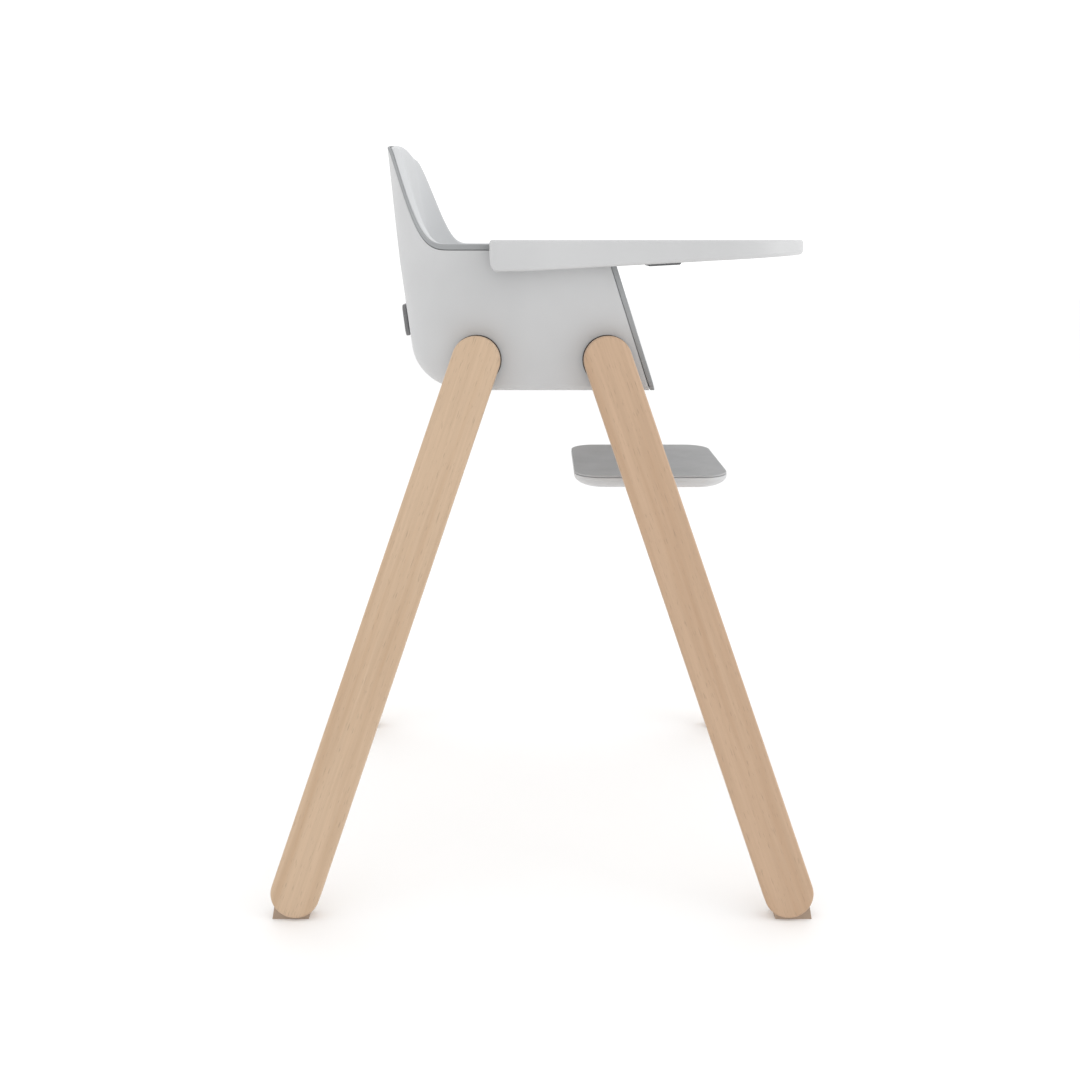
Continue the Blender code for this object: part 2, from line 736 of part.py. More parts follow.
def build_rails(parent):
    """Guide rails on the shell's sides, and the runners under the tray that hold them above and below."""
    for side in (-1, 1):
        word = side_word(side)
        near_low, near_high = half_width(RAIL_LOW) + 0.0005, half_width(RAIL_HIGH) + 0.0005
        rail = [(near_low, RAIL_LOW), (RAIL_OUT, RAIL_LOW), (RAIL_OUT, RAIL_HIGH), (near_high, RAIL_HIGH)]
        rail = [(side * y, z) for y, z in rail]
        add_mesh("tray_rail_" + word, *prism(rail, "x", RAIL_REAR, RAIL_FRONT), "dark_plastic")
        web, edge = RAIL_OUT + 2 * GAP, TRAY_HALF_WIDTH - TRAY_WALL - GAP
        section = [
            (edge, RUNNER_LOW),
            (edge, RUNNER_HIGH),
            (RUNNER_TIP, RUNNER_HIGH),
            (RUNNER_TIP, RAIL_HIGH + 2 * GAP),
            (web, RAIL_HIGH + 2 * GAP),
            (web, RUNNER_LOW + RUNNER_LIP),
            (RUNNER_TIP, RUNNER_LOW + RUNNER_LIP),
            (RUNNER_TIP, RUNNER_LOW),
        ]
        section = [(side * y, z) for y, z in section]
        add_mesh("tray_runner_" + word, *prism(section, "x", RUNNER_REAR, RAIL_FRONT), "tray_white", parent)


def build_tray_lever(tray):
    pin = (LEVER_PIN_X, LEVER_PIN_Z)
    width = LEVER_HALF_WIDTH
    frame = box((0.1330, -0.0345, 0.7832), (0.1880, 0.0345, 0.7969))
    housing = add_mesh("tray_lever_housing", *frame, "tray_white", tray)
    combine(housing, box((0.1362, -0.0312, 0.770), (0.1850, 0.0312, 0.7942)), "lever_recess")
    bore = circle(*pin, LEVER_PIN_RADIUS + GAP, 16)
    combine(housing, prism(bore, "y", -0.0330, 0.0330), "lever_pin_seat")
    add_mesh("tray_lever_pin", *prism(circle(*pin, LEVER_PIN_RADIUS, 16), "y", -0.0328, 0.0328), "steel", tray)
    parent = add_empty("tray_lever_axis", (LEVER_PIN_X, 0, LEVER_PIN_Z))
    outline = [
        (0.1368, 0.7798),
        (0.1408, 0.7757),
        (0.1800, 0.7778),
        (0.1822, 0.7794),
        (0.1822, 0.7822),
        (0.1460, 0.7806),
        (0.1428, 0.7830),
        (0.1428, 0.7880),
        (0.1412, 0.7895),
        (0.1380, 0.7895),
        (0.1368, 0.7880),
    ]
    lever = add_mesh("tray_lever", *prism(outline, "y", -width, width), "dark_plastic", parent)
    combine(lever, prism(bore, "y", -0.04, 0.04), "lever_pin_bore")
    return lever


# ---------------------------------------------------------------- release handle


def back_matrix():
    """Handle space to world: on the back's outer face, +X away from the shell, Z up along the lean."""
    x = BACK_X + (HANDLE_Z - SHELL_BOTTOM) * BACK_SLOPE - BACK_BULGE
    lean = math.atan(BACK_SLOPE)
    return Matrix.Translation((x, 0, HANDLE_Z)) @ Matrix.Rotation(lean, 4, "Y") @ Matrix.Scale(-1, 4, (1, 0, 0))


def build_handle():
    place = back_matrix()
    high = HANDLE_HALF_HEIGHT
    pin = circle(HANDLE_PIN_OUT, HANDLE_PIN_UP, HANDLE_PIN_RADIUS, 12)
    bore = circle(HANDLE_PIN_OUT, HANDLE_PIN_UP, HANDLE_PIN_RADIUS + GAP, 12)
    plate = rounded((-0.038, -high + 0.001), (0.038, high - 0.001), 0.006)
    base = add_mesh("handle_base", *moved(prism(plate, "x", 0.0005, 0.0032), place), "shell_white")
    for side in (-1, 1):
        low, top = sorted((side * EAR_INNER, side * EAR_OUTER))
        ear = moved(box((0.0025, low, 0.0120), (0.0068, top, high - 0.0012)), place)
        combine(base, ear, "handle_ear_" + side_word(side), "UNION")
    combine(base, moved(prism(bore, "y", -0.04, 0.04), place), "handle_ear_bore")
    add_mesh("handle_pin", *moved(prism(pin, "y", -0.0345, 0.0345), place), "steel")
    axis = place @ Vector((HANDLE_PIN_OUT, 0, HANDLE_PIN_UP))
    parent = add_empty("release_handle_axis", axis)
    face = rounded((-HANDLE_HALF_WIDTH, -high), (HANDLE_HALF_WIDTH, high), 0.007)
    levels = ((0.0071, 0.0), (0.0112, 0.0), (0.0124, 0.0014))
    rings = []
    for out, shrink in levels:
        rings.append([(out, y * (1 - shrink / HANDLE_HALF_WIDTH), z * (1 - shrink / high)) for y, z in face])
    points, faces = moved(loft(rings), place)
    handle = add_mesh("release_handle", points, faces, "dark_plastic", parent)
    for side in (-1, 1):
        low, top = sorted((side * (EAR_INNER - 0.0008), side * (EAR_OUTER + 0.0008)))
        pocket = moved(box((0.0060, low, 0.0105), (0.0085, top, 0.0225)), place)
        combine(handle, pocket, "handle_pocket_" + side_word(side))
        low, top = sorted((side * 0.0180, side * (EAR_INNER - 2 * GAP)))
        knuckle = moved(box((0.0039, low, 0.0132), (0.0080, top, 0.0184)), place)
        combine(handle, knuckle, "handle_knuckle_" + side_word(side), "UNION")
    combine(handle, moved(prism(bore, "y", -0.04, 0.04), place), "handle_bore")
    return handle


# ---------------------------------------------------------------- harness


def ribbon(start, end, cut=0.0):
    """A flat strap between two points on the seat, as a thin closed solid."""
    run = (Vector(end) - Vector(start)).normalized()
    across = Vector((-run.y, run.x)) * STRAP_HALF_WIDTH
    tail = Vector(end) - run * cut
    corners = [Vector(start) + across, tail + across, tail - across, Vector(start) - across]
    return prism([(p.x, p.y) for p in corners], "z", STRAP_Z, STRAP_Z + STRAP_THICK)


def guide_ring(name, x, y):
    """A slim bezel round a strap slot in the seat."""
    long, wide = STRAP_HALF_WIDTH + 0.005, 0.0062
    outline = rounded((x - wide, y - long), (x + wide, y + long), 0.003, 3)
    low = SEAT_Z + GAP
    ring = add_mesh(name, *prism(outline, "z", low, low + 0.0022), "dark_plastic")
    slot = box((x - 0.0022, y - long + 0.0035, 0.64), (x + 0.0022, y + long - 0.0035, 0.67))
    combine(ring, slot, name + "_slot")
    return ring


def build_harness():
    for side in (-1, 1):
        word = side_word(side)
        guide_ring("waist_guide_" + word, GUIDE_X, side * GUIDE_Y)
        tongue_y = side * (BUCKLE_HALF_WIDTH + 0.001)
        start = (GUIDE_X + 0.0155, side * (GUIDE_Y - 0.006))
        end = (BUCKLE_X - 0.004, tongue_y + side * 0.014)
        add_mesh("waist_strap_" + word, *ribbon(start, end), "webbing")
        low, high = sorted((tongue_y, tongue_y + side * 0.011))
        tongue = rounded((BUCKLE_X - 0.013, low), (BUCKLE_X + 0.013, high), 0.003, 3)
        add_mesh("buckle_tongue_" + word, *prism(tongue, "z", SEAT_Z + 0.0030, SEAT_Z + 0.0085), "dark_plastic")
    guide_ring("crotch_guide", CROTCH_GUIDE_X, 0.0)
    front = BUCKLE_X + BUCKLE_HALF_LENGTH
    add_mesh("crotch_strap", *ribbon((CROTCH_GUIDE_X - 0.008, 0.0), (front + GAP, 0.0)), "webbing")
    low = SEAT_Z + 0.0006
    body = (BUCKLE_X - BUCKLE_HALF_LENGTH, -BUCKLE_HALF_WIDTH), (front, BUCKLE_HALF_WIDTH)
    levels = ((0.0015, 0.0), (0.0, 0.002), (0.0, 0.009), (0.0025, BUCKLE_HEIGHT))
    rings = []
    for shrink, up in levels:
        corner = (body[0][0] + shrink, body[0][1] + shrink), (body[1][0] - shrink, body[1][1] - shrink)
        rings.append([(x, y, low + up) for x, y in rounded(*corner, 0.006, 3)])
    buckle = add_mesh("buckle_body", *loft(rings), "dark_plastic")
    well = circle(BUCKLE_X, 0.0, BUTTON_RADIUS + 0.0004, 20)
    combine(buckle, prism(well, "z", low + 0.004, 0.69), "button_well")
    cap = ((0.0, 0.0080), (0.0, 0.0125), (0.0012, 0.0135))
    rings = [[(x, y, low + up) for x, y in circle(BUCKLE_X, 0.0, BUTTON_RADIUS - s, 20)] for s, up in cap]
    parent = add_empty("buckle_button_axis", (BUCKLE_X, 0, low + 0.008))
    add_mesh("buckle_button", *loft(rings), "trim_grey", parent)


# ---------------------------------------------------------------- build


def build():
    clear_scene()
    build_shell()
    build_liner()
    build_trim()
    build_handle()
    build_harness()
    build_leg_pair(-1, "rear")
    front_legs = build_leg_pair(1, "front")
    build_footrest(front_legs)
    tray = add_empty("tray_slide_axis", (0, 0, 0.79))
    build_tray_body(tray)
    build_rails(tray)
    build_tray_lever(tray)


build()
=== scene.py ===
"""Looks of the baby high chair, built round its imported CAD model. Metres, +X is the chair's front, +Z up."""

import json
import math

import bmesh
import bpy
from mathutils import Matrix, Vector


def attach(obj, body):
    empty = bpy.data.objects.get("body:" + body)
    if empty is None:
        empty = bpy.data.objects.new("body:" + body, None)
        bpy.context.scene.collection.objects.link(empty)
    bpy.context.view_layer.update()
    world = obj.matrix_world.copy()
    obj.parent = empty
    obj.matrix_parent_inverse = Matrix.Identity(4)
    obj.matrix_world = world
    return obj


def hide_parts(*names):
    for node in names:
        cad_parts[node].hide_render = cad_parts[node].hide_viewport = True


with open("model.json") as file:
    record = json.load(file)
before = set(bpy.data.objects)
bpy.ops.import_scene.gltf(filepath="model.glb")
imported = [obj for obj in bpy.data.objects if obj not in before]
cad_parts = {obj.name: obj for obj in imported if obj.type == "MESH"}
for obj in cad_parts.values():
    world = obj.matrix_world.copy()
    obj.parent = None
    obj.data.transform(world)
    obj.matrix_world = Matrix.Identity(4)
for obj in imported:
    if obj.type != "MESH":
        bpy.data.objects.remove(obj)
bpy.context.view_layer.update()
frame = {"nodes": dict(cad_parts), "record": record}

# Seat shell, as in the CAD
SHELL_BOTTOM = 0.6325
SHELL_HALF_WIDTH = 0.184
SHELL_MOST_WIDTH = 0.198
FLARE_LOW, FLARE_HIGH = 0.655, 0.835
BACK_X, BACK_SLOPE, BACK_BULGE = -0.1515, -0.1150, 0.008
FRONT_X, FRONT_SLOPE = 0.1354, -0.3315
RIM_Z, RIM_RISE, RIM_CROWN = 0.805, 0.097, 0.028
RISE_START, RISE_END, RISE_POWER = 12.0, 82.0, 1.5
NOSE_DROP, NOSE_REACH = 0.018, 0.085
SHELL_DROP_SHARE = 0.62
CORNER_RADIUS, CORNER_START = 0.072, 0.780
CORNER_GROWTH, CORNER_SHRINK = 0.315, 0.6
SHELL_WALL = 0.003
LINER_BACK, LINER_FACE, LINER_FLOOR = 0.010, 0.014, 0.004
SEAT_Z = 0.655
TRIM_DEPTH, TRIM_TOP_DEPTH, TRIM_BAND, TRIM_TOP_BAND = 0.0055, 0.0032, 0.0066, 0.0022
TAPER_START, TAPER_END = 10.0, 72.0
GAP = 0.0003

# Legs
PIVOT_X, PIVOT_Z = 0.077, 0.6725
LEG_FACE_Y, LEG_LENGTH, LEG_THICK = 0.213, 0.6789, 0.023
LEG_LEAN, LEG_SPLAY = math.radians(18.95), math.radians(5.18)
LEG_TOP_RADIUS, LEG_FOOT_RADIUS = 0.0282, 0.0296
LEG_EDGE = 0.003
FOOT_OUTLINE = ((-0.0155, 0.0), (0.0285, 0.0), (0.0255, 0.017), (-0.0160, 0.0100))
FOOT_OUTSIDE, FOOT_INSIDE = 0.0035, 0.0245

# Footrest
FOOTREST_REAR, FOOTREST_FRONT, FOOTREST_HALF_WIDTH = 0.042, 0.2415, 0.107
FOOTREST_BOTTOM, FOOTREST_TOP, MAT_THICK = 0.492, 0.5096, 0.0029
FOOTREST_CORNER, FOOTREST_ROUND = 0.034, 0.030
MAT_EDGE_HEIGHT, MAT_EDGE_WIDTH = 0.0010, 0.0012

# Tray
TRAY_REAR, TRAY_FRONT, TRAY_HALF_WIDTH = -0.060, 0.317, 0.219
TRAY_TOP, TRAY_SKIRT_Z, TRAY_SKIRT_SLOPE = 0.810, 0.7728, 0.0552
TRAY_SHEET, TRAY_LIP, SKIRT_START, ARM_GAP_HALF = 0.0038, 0.016, 0.009, 0.2125
TRAY_WALL, TRAY_FRONT_RADIUS, TRAY_REAR_RADIUS, TRAY_HEEL_RADIUS = 0.004, 0.100, 0.007, 0.013
BELLY_RADIUS, BELLY_CENTRE, TRAY_NOSE = 0.125, -0.040, 0.016
PAN_REAR, PAN_FRONT, PAN_HALF_WIDTH, PAN_RADIUS = 0.106, 0.308, 0.196, 0.075
PAN_UNDERSIDE, DISH_FLOOR = 0.7972, 0.8006

# Handle and harness
HANDLE_Z, HANDLE_HALF_WIDTH, HANDLE_HALF_HEIGHT = 0.7075, 0.045, 0.0205
HANDLE_INNER, HANDLE_OUTER = 0.0071, 0.0124
# Fittings on the handle's back, as spans out, across and up: pockets for the base's ears, knuckles on the pin
POCKET = (0.0060, 0.0085), (0.0282, 0.0358), (0.0105, 0.0225)
KNUCKLE = (0.0039, 0.0080), (0.0180, 0.0284), (0.0132, 0.0184)
# The finger hollow in the handle's face: (distance out of the base, inset of its outline)
FINGER_HOLLOW = ((0.0110, 0.0040), (0.0116, 0.0016), (0.0122, 0.0004), (0.0130, 0.0))
STRAP_HALF_WIDTH, STRAP_EDGE, STRAP_THIN, STRAP_FOLD = 0.0125, 0.00035, 0.0012, 0.0004
STRAP_LIFT, SLOT_HALF, SLOT_MARGIN = 0.0006, 0.0022, 0.0015
# How far each strap's end stays from the guide or tongue it leads to
WAIST_START, WAIST_END, CROTCH_START = 0.0155, 0.014, 0.008
BUCKLE_X, BUCKLE_HALF_LENGTH, BUCKLE_HALF_WIDTH, BUCKLE_HEIGHT = 0.028, 0.022, 0.017, 0.0125
TONGUE_Y = BUCKLE_HALF_WIDTH + 0.001
TONGUE_REACH, TONGUE_HALF_WIDTH, TONGUE_LOW, TONGUE_HIGH = 0.011, 0.013, 0.0030, 0.0085
BUTTON_RADIUS, BUTTON_EDGE, WELL_DEPTH = 0.0085, 0.0013, 0.004
BUTTON_LOW, BUTTON_SHOULDER = 0.0080, 0.0122
# The button's finger hollow: (height above the strap's level, inset)
BUTTON_HOLLOW = ((0.0134, 0.0035), (0.0130, 0.0055))
GUIDE_X, GUIDE_Y, CROTCH_GUIDE_X = -0.078, 0.118, 0.098
STRAP_SLOTS = ((GUIDE_X, -GUIDE_Y), (GUIDE_X, GUIDE_Y), (CROTCH_GUIDE_X, 0.0))


# ---------------------------------------------------------------- materials


class Nodes:
    """Short calls for building one material's node tree."""

    def __init__(self, name):
        self.material = bpy.data.materials.new(name)
        self.material.use_nodes = True
        self.tree = self.material.node_tree
        self.shader = self.tree.nodes["Principled BSDF"]

    def add(self, kind, **values):
        node = self.tree.nodes.new(kind)
        for key, value in values.items():
            setattr(node, key, value)
        return node

    def link(self, source, target):
        self.tree.links.new(source, target)

    def mapping(self, vector, **values):
        node = self.add("ShaderNodeMapping")
        for key, value in values.items():
            node.inputs[key].default_value = value
        self.link(vector, node.inputs["Vector"])
        return node.outputs["Vector"]

    def coordinates(self, scale=(1, 1, 1), offset=(0, 0, 0), space=None):
        """Object coordinates, first carried into a piece's own space where one is given."""
        vector = self.add("ShaderNodeTexCoord").outputs["Object"]
        if space is not None:
            vector = self.mapping(vector, Location=space.to_translation(), Rotation=space.to_euler())
        return self.mapping(vector, Scale=scale, Location=offset)

    def noise(self, vector, scale, detail=3.0, roughness=0.5):
        node = self.add("ShaderNodeTexNoise")
        node.inputs["Scale"].default_value = scale
        node.inputs["Detail"].default_value = detail
        node.inputs["Roughness"].default_value = roughness
        self.link(vector, node.inputs["Vector"])
        return node.outputs["Fac"]

    def ramp(self, value, *stops):
        """A colour ramp of (place, grey or colour) stops."""
        node = self.add("ShaderNodeValToRGB")
        elements = node.color_ramp.elements
        while len(elements) < len(stops):
            elements.new(0.5)
        for element, (place, colour) in zip(elements, stops):
            element.position = place
            element.color = (*colour, 1.0) if isinstance(colour, tuple) else (colour, colour, colour, 1.0)
        self.link(value, node.inputs["Fac"])
        return node.outputs["Color"]

    def mix(self, share, first, second, kind="MIX"):
        node = self.add("ShaderNodeMix", data_type="RGBA", blend_type=kind)
        pairs = ((node.inputs["Factor"], share), (node.inputs["A"], first), (node.inputs["B"], second))
        for socket, value in pairs:
            if isinstance(value, bpy.types.NodeSocket):
                self.link(value, socket)
            elif isinstance(value, tuple):
                socket.default_value = (*value, 1.0)
            else:
                socket.default_value = value
        return node.outputs["Result"]

    def maths(self, operation, first, second):
        node = self.add("ShaderNodeMath", operation=operation)
        for socket, value in zip(node.inputs, (first, second)):
            if isinstance(value, bpy.types.NodeSocket):
                self.link(value, socket)
            else:
                socket.default_value = value
        return node.outputs["Value"]

    def bump(self, height, strength, distance):
        node = self.add("ShaderNodeBump")
        node.inputs["Strength"].default_value = strength
        node.inputs["Distance"].default_value = distance
        self.link(height, node.inputs["Height"])
        self.link(node.outputs["Normal"], self.shader.inputs["Normal"])


def plastic(name, colour, roughness, grain=0.00012, spread=0.035, specular=0.5):
    """Moulded plastic: a fine spark-eroded grain, faint flow shade and uneven gloss."""
    made = Nodes(name)
    where = made.coordinates()
    flow = made.noise(where, 9.0, 2.0)
    dark = tuple(c * (1 - spread) for c in colour)
    light = tuple(min(c * (1 + spread), 1.0) for c in colour)
    made.link(made.ramp(flow, (0.3, dark), (0.7, light)), made.shader.inputs["Base Color"])
    fine = made.noise(where, 1500.0, 2.0, 0.6)
    gloss = made.noise(where, 42.0, 4.0)
    low, high = max(roughness - 0.05, 0.05), min(roughness + 0.06, 1.0)
    made.link(made.ramp(gloss, (0.25, low), (0.75, high)), made.shader.inputs["Roughness"])
    made.shader.inputs["Specular IOR Level"].default_value = specular
    made.bump(fine, 0.35, grain)
    return made.material


def rubber(name, colour, roughness):
    """Matt rubber with a pebbled skin and a little dust in it."""
    made = Nodes(name)
    where = made.coordinates()
    cloud = made.noise(where, 22.0, 5.0, 0.6)
    dark = tuple(c * 0.92 for c in colour)
    light = tuple(c * 1.08 for c in colour)
    made.link(made.ramp(cloud, (0.3, dark), (0.7, light)), made.shader.inputs["Base Color"])
    worn = made.ramp(cloud, (0.2, roughness - 0.06), (0.8, roughness + 0.06))
    made.link(worn, made.shader.inputs["Roughness"])
    made.shader.inputs["Specular IOR Level"].default_value = 0.35
    made.bump(made.noise(where, 900.0, 3.0, 0.7), 0.4, 0.0002)
    return made.material


def wood(name, tone, offset, space=None):
    """Lacquered beech: straight grain along its space's Z, slow shade bands and short dark flecks."""
    made = Nodes(name)
    bands = made.noise(made.coordinates((1.0, 0.7, 0.035), offset, space), 62.0, 4.0, 0.55)
    streaks = made.noise(made.coordinates((1.0, 0.6, 0.022), offset, space), 330.0, 4.0, 0.6)
    flecks = made.noise(made.coordinates((1.0, 0.9, 0.085), offset, space), 780.0, 1.0, 0.4)
    slow = made.noise(made.coordinates((1.0, 1.0, 0.16), offset, space), 15.0, 2.0)
    dark = tuple(c * k for c, k in zip(tone, (0.86, 0.80, 0.74)))
    light = tuple(c * k for c, k in zip(tone, (1.07, 1.08, 1.10)))
    base = made.ramp(bands, (0.30, dark), (0.52, tone), (0.74, light))
    base = made.mix(made.ramp(streaks, (0.40, 0.34), (0.60, 0.0)), base, tuple(c * 0.82 for c in tone))
    base = made.mix(made.ramp(slow, (0.35, 0.22), (0.65, 0.0)), base, tuple(c * 0.88 for c in tone))
    base = made.mix(made.ramp(flecks, (0.27, 0.55), (0.36, 0.0)), base, tuple(c * 0.58 for c in tone))
    made.link(base, made.shader.inputs["Base Color"])
    made.link(made.ramp(streaks, (0.3, 0.50), (0.7, 0.40)), made.shader.inputs["Roughness"])
    made.shader.inputs["Coat Weight"].default_value = 0.12
    made.shader.inputs["Coat Roughness"].default_value = 0.35
    made.bump(made.maths("ADD", streaks, made.ramp(flecks, (0.27, 0.0), (0.36, 1.0))), 0.16, 0.00025)
    return made.material


def steel(name, colour, roughness):
    """Zinc-plated steel with fine drawing lines across and a faint cloudiness."""
    made = Nodes(name)
    lines = made.noise(made.coordinates((1.0, 0.03, 1.0)), 2600.0, 2.0)
    cloud = made.noise(made.coordinates(), 120.0, 3.0)
    dark = tuple(c * 0.86 for c in colour)
    made.link(made.ramp(cloud, (0.3, dark), (0.7, colour)), made.shader.inputs["Base Color"])
    worn = made.ramp(lines, (0.3, roughness - 0.07), (0.7, roughness + 0.08))
    made.link(worn, made.shader.inputs["Roughness"])
    made.shader.inputs["Metallic"].default_value = 1.0
    made.bump(lines, 0.12, 0.0001)
    return made.material


def webbing(name, colour):
    """Woven polyester: ribs across the strap and a twill through them, in local X and Y."""
    made = Nodes(name)
    where = made.coordinates()
    ribs = made.add("ShaderNodeTexWave", bands_direction="X", wave_type="BANDS")
    ribs.inputs["Scale"].default_value = 260.0
    made.link(where, ribs.inputs["Vector"])
    rows = made.add("ShaderNodeTexWave", bands_direction="Y", wave_type="BANDS")
    rows.inputs["Scale"].default_value = 190.0
    made.link(where, rows.inputs["Vector"])
    weave = made.maths("MULTIPLY", ribs.outputs["Fac"], rows.outputs["Fac"])
    fuzz = made.noise(where, 700.0, 3.0)
    dark = tuple(c * 0.55 for c in colour)
    shade = made.ramp(weave, (0.0, dark), (0.8, colour))
    worn = made.mix(made.ramp(fuzz, (0.3, 0.25), (0.7, 0.0)), shade, dark)
    made.link(worn, made.shader.inputs["Base Color"])
    made.link(made.ramp(fuzz, (0.2, 0.82), (0.8, 0.95)), made.shader.inputs["Roughness"])
    made.shader.inputs["Sheen Weight"].default_value = 0.25
    made.shader.inputs["Sheen Roughness"].default_value = 0.5
    made.bump(weave, 0.6, 0.0005)
    return made.material


# ---------------------------------------------------------------- mesh helpers


def finish_mesh(name, points, faces, look, sharp=40.0, place=None):
    """A closed mesh object with its faces outwards, smooth where it turns gently."""
    mesh = bpy.data.meshes.new(name)
    mesh.from_pydata([tuple(p) for p in points], [], faces)
    work = bmesh.new()
    work.from_mesh(mesh)
    bmesh.ops.remove_doubles(work, verts=work.verts, dist=1e-6)
    bmesh.ops.recalc_face_normals(work, faces=work.faces)
    work.to_mesh(mesh)
    work.free()
    mesh.shade_smooth()
    mesh.set_sharp_from_angle(angle=math.radians(sharp))
    mesh.materials.append(look)
    obj = bpy.data.objects.new(name, mesh)
    bpy.context.scene.collection.objects.link(obj)
    if place is not None:
        obj.matrix_world = place
    return obj


def settle(obj):
    """Applies the modifiers and leaves flat faces shaded flat."""
    weighted = obj.modifiers.new("Weighted", "WEIGHTED_NORMAL")
    weighted.keep_sharp = True
    bpy.context.view_layer.update()
    graph = bpy.context.evaluated_depsgraph_get()
    posed = obj.evaluated_get(graph)
    obj.data = bpy.data.meshes.new_from_object(posed, preserve_all_data_layers=True, depsgraph=graph)
    obj.modifiers.clear()
    return obj


def carve(obj, *shapes, operation="DIFFERENCE"):
    """Cuts shapes from an object for good, or joins them on."""
    for shape in shapes:
        helper = finish_mesh("helper", *shape, obj.data.materials[0])
        cut = obj.modifiers.new("Cut", "BOOLEAN")
        cut.operation = operation
        cut.solver = "EXACT"
        cut.object = helper
        graph = bpy.context.evaluated_depsgraph_get()
        made = bpy.data.meshes.new_from_object(obj.evaluated_get(graph), depsgraph=graph)
        obj.modifiers.clear()
        obj.data = made
        bpy.data.objects.remove(helper)
    obj.data.shade_smooth()
    obj.data.set_sharp_from_angle(angle=math.radians(32))
    return obj


def soften(obj, width, segments=3, angle=40.0):
    bevel = obj.modifiers.new("Edge", "BEVEL")
    bevel.width = width
    bevel.segments = segments
    bevel.limit_method = "ANGLE"
    bevel.angle_limit = math.radians(angle)
    bevel.harden_normals = False
    return obj


def show(obj, body, slot, *nodes):
    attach(obj, body)
    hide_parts(*nodes)
    return obj


def loft(rings):
    """Points and faces of a solid through closed rings of equal length, capped at both ends."""
    count = len(rings[0])
    points = [p for ring in rings for p in ring]
    faces = []
    for r in range(len(rings) - 1):
        for i in range(count):
            j = (i + 1) % count
            faces.append((r * count + i, r * count + j, (r + 1) * count + j, (r + 1) * count + i))
    faces.append(tuple(range(count))[::-1])
    faces.append(tuple(range((len(rings) - 1) * count, len(rings) * count)))
    return points, faces


def prism(outline, axis, low, high):
    """A flat outline extruded along an axis: given as (x, z) for 'y', (y, z) for 'x', (x, y) for 'z'."""
    place = {
        "x": lambda a, b, t: (t, a, b),
        "y": lambda a, b, t: (a, t, b),
        "z": lambda a, b, t: (a, b, t),
    }[axis]
    return loft([[place(a, b, t) for a, b in outline] for t in (low, high)])


def box(low, high):
    outline = [(low[0], low[1]), (high[0], low[1]), (high[0], high[1]), (low[0], high[1])]
    return prism(outline, "z", low[2], high[2])


def moved(shape, matrix):
    points, faces = shape
    return [matrix @ Vector(p) for p in points], faces


def circle(x, y, radius, steps=48):
    turn = 2 * math.pi / steps
    return [(x + radius * math.cos(i * turn), y + radius * math.sin(i * turn)) for i in range(steps)]


def rounded(low, high, radius, steps=10):
    """A rectangle with round corners, as (a, b) points."""
    corners = [
        (high[0] - radius, high[1] - radius, 0),
        (low[0] + radius, high[1] - radius, 90),
        (low[0] + radius, low[1] + radius, 180),
        (high[0] - radius, low[1] + radius, 270),
    ]
    outline = []
    for a, b, start in corners:
        for i in range(steps + 1):
            angle = math.radians(start + 90 * i / steps)
            outline.append((a + radius * math.cos(angle), b + radius * math.sin(angle)))
    return outline


def fillet(radius, steps=6):
    """(shrink, depth) pairs of a round edge, from the side face to the flat face."""
    pairs = []
    for i in range(steps + 1):
        angle = math.radians(90 * i / steps)
        pairs.append((radius * (1 - math.cos(angle)), radius * (1 - math.sin(angle))))
    return pairs


def slab_levels(low, high, radius, steps=6):
    """(height, shrink) levels of a slab with both edges round."""
    pairs = fillet(radius, steps)
    bottom = [(low + depth, shrink) for shrink, depth in pairs[::-1]]
    top = [(high - depth, shrink) for shrink, depth in pairs]
    return bottom + top


# ---------------------------------------------------------------- seat


def smooth_step(low, high, value):
    t = min(max((value - low) / (high - low), 0.0), 1.0)
    return t * t * (3 - 2 * t)


def inward(radius, height):
    if radius <= 0 or height >= radius:
        return 0.0
    reach = radius - max(height, 0.0)
    return radius - math.sqrt(radius * radius - reach * reach)


def half_width(z):
    return SHELL_HALF_WIDTH + (SHELL_MOST_WIDTH - SHELL_HALF_WIDTH) * smooth_step(FLARE_LOW, FLARE_HIGH, z)


def corner_radius(z):
    return CORNER_RADIUS + max(z - CORNER_START, 0.0) * CORNER_GROWTH


def bulge(y, width):
    return 1 - (y / width) ** 2


def columns():
    """Stations along the wall, from the front edge on the -Y side round the back to the +Y side."""
    side = [("side", (i / SIDE_STEPS) ** 1.6) for i in range(SIDE_STEPS + 1)]
    arc = [("arc", 90 * i / ARC_STEPS) for i in range(1, ARC_STEPS)]
    back = [("back", -1 + 2 * i / BACK_STEPS, 1) for i in range(BACK_STEPS + 1)]
    right = [(kind, t, -1) for kind, t in side + arc]
    left = [(kind, t, 1) for kind, t in (side + arc)[::-1]]
    return right + back + left


def wall_point(column, z, offset, surface, inset=0.0):
    """A point on the wall: offset is how far inside the outer face, inset how far behind the front edge."""
    kind, t, side = column
    bottom, back_round, side_round = surface
    height = z - bottom
    width = half_width(z) - offset - inward(side_round, height)
    pull = inward(back_round, height)
    back = BACK_X + (z - SHELL_BOTTOM) * BACK_SLOPE + offset + pull
    radius = corner_radius(z) - offset - CORNER_SHRINK * pull
    front = FRONT_X + (z - SHELL_BOTTOM) * FRONT_SLOPE - inset
    start = back + radius
    if kind == "side":
        return (front + t * (start - front), side * width, z)
    if kind == "arc":
        angle = math.radians(t)
        x = start - radius * math.sin(angle)
        y = width - radius + radius * math.cos(angle)
        return (x - BACK_BULGE * bulge(y, width) * (t / 90) ** 2, side * y, z)
    y = t * (width - radius)
    return (back - BACK_BULGE * bulge(y, width), y, z)


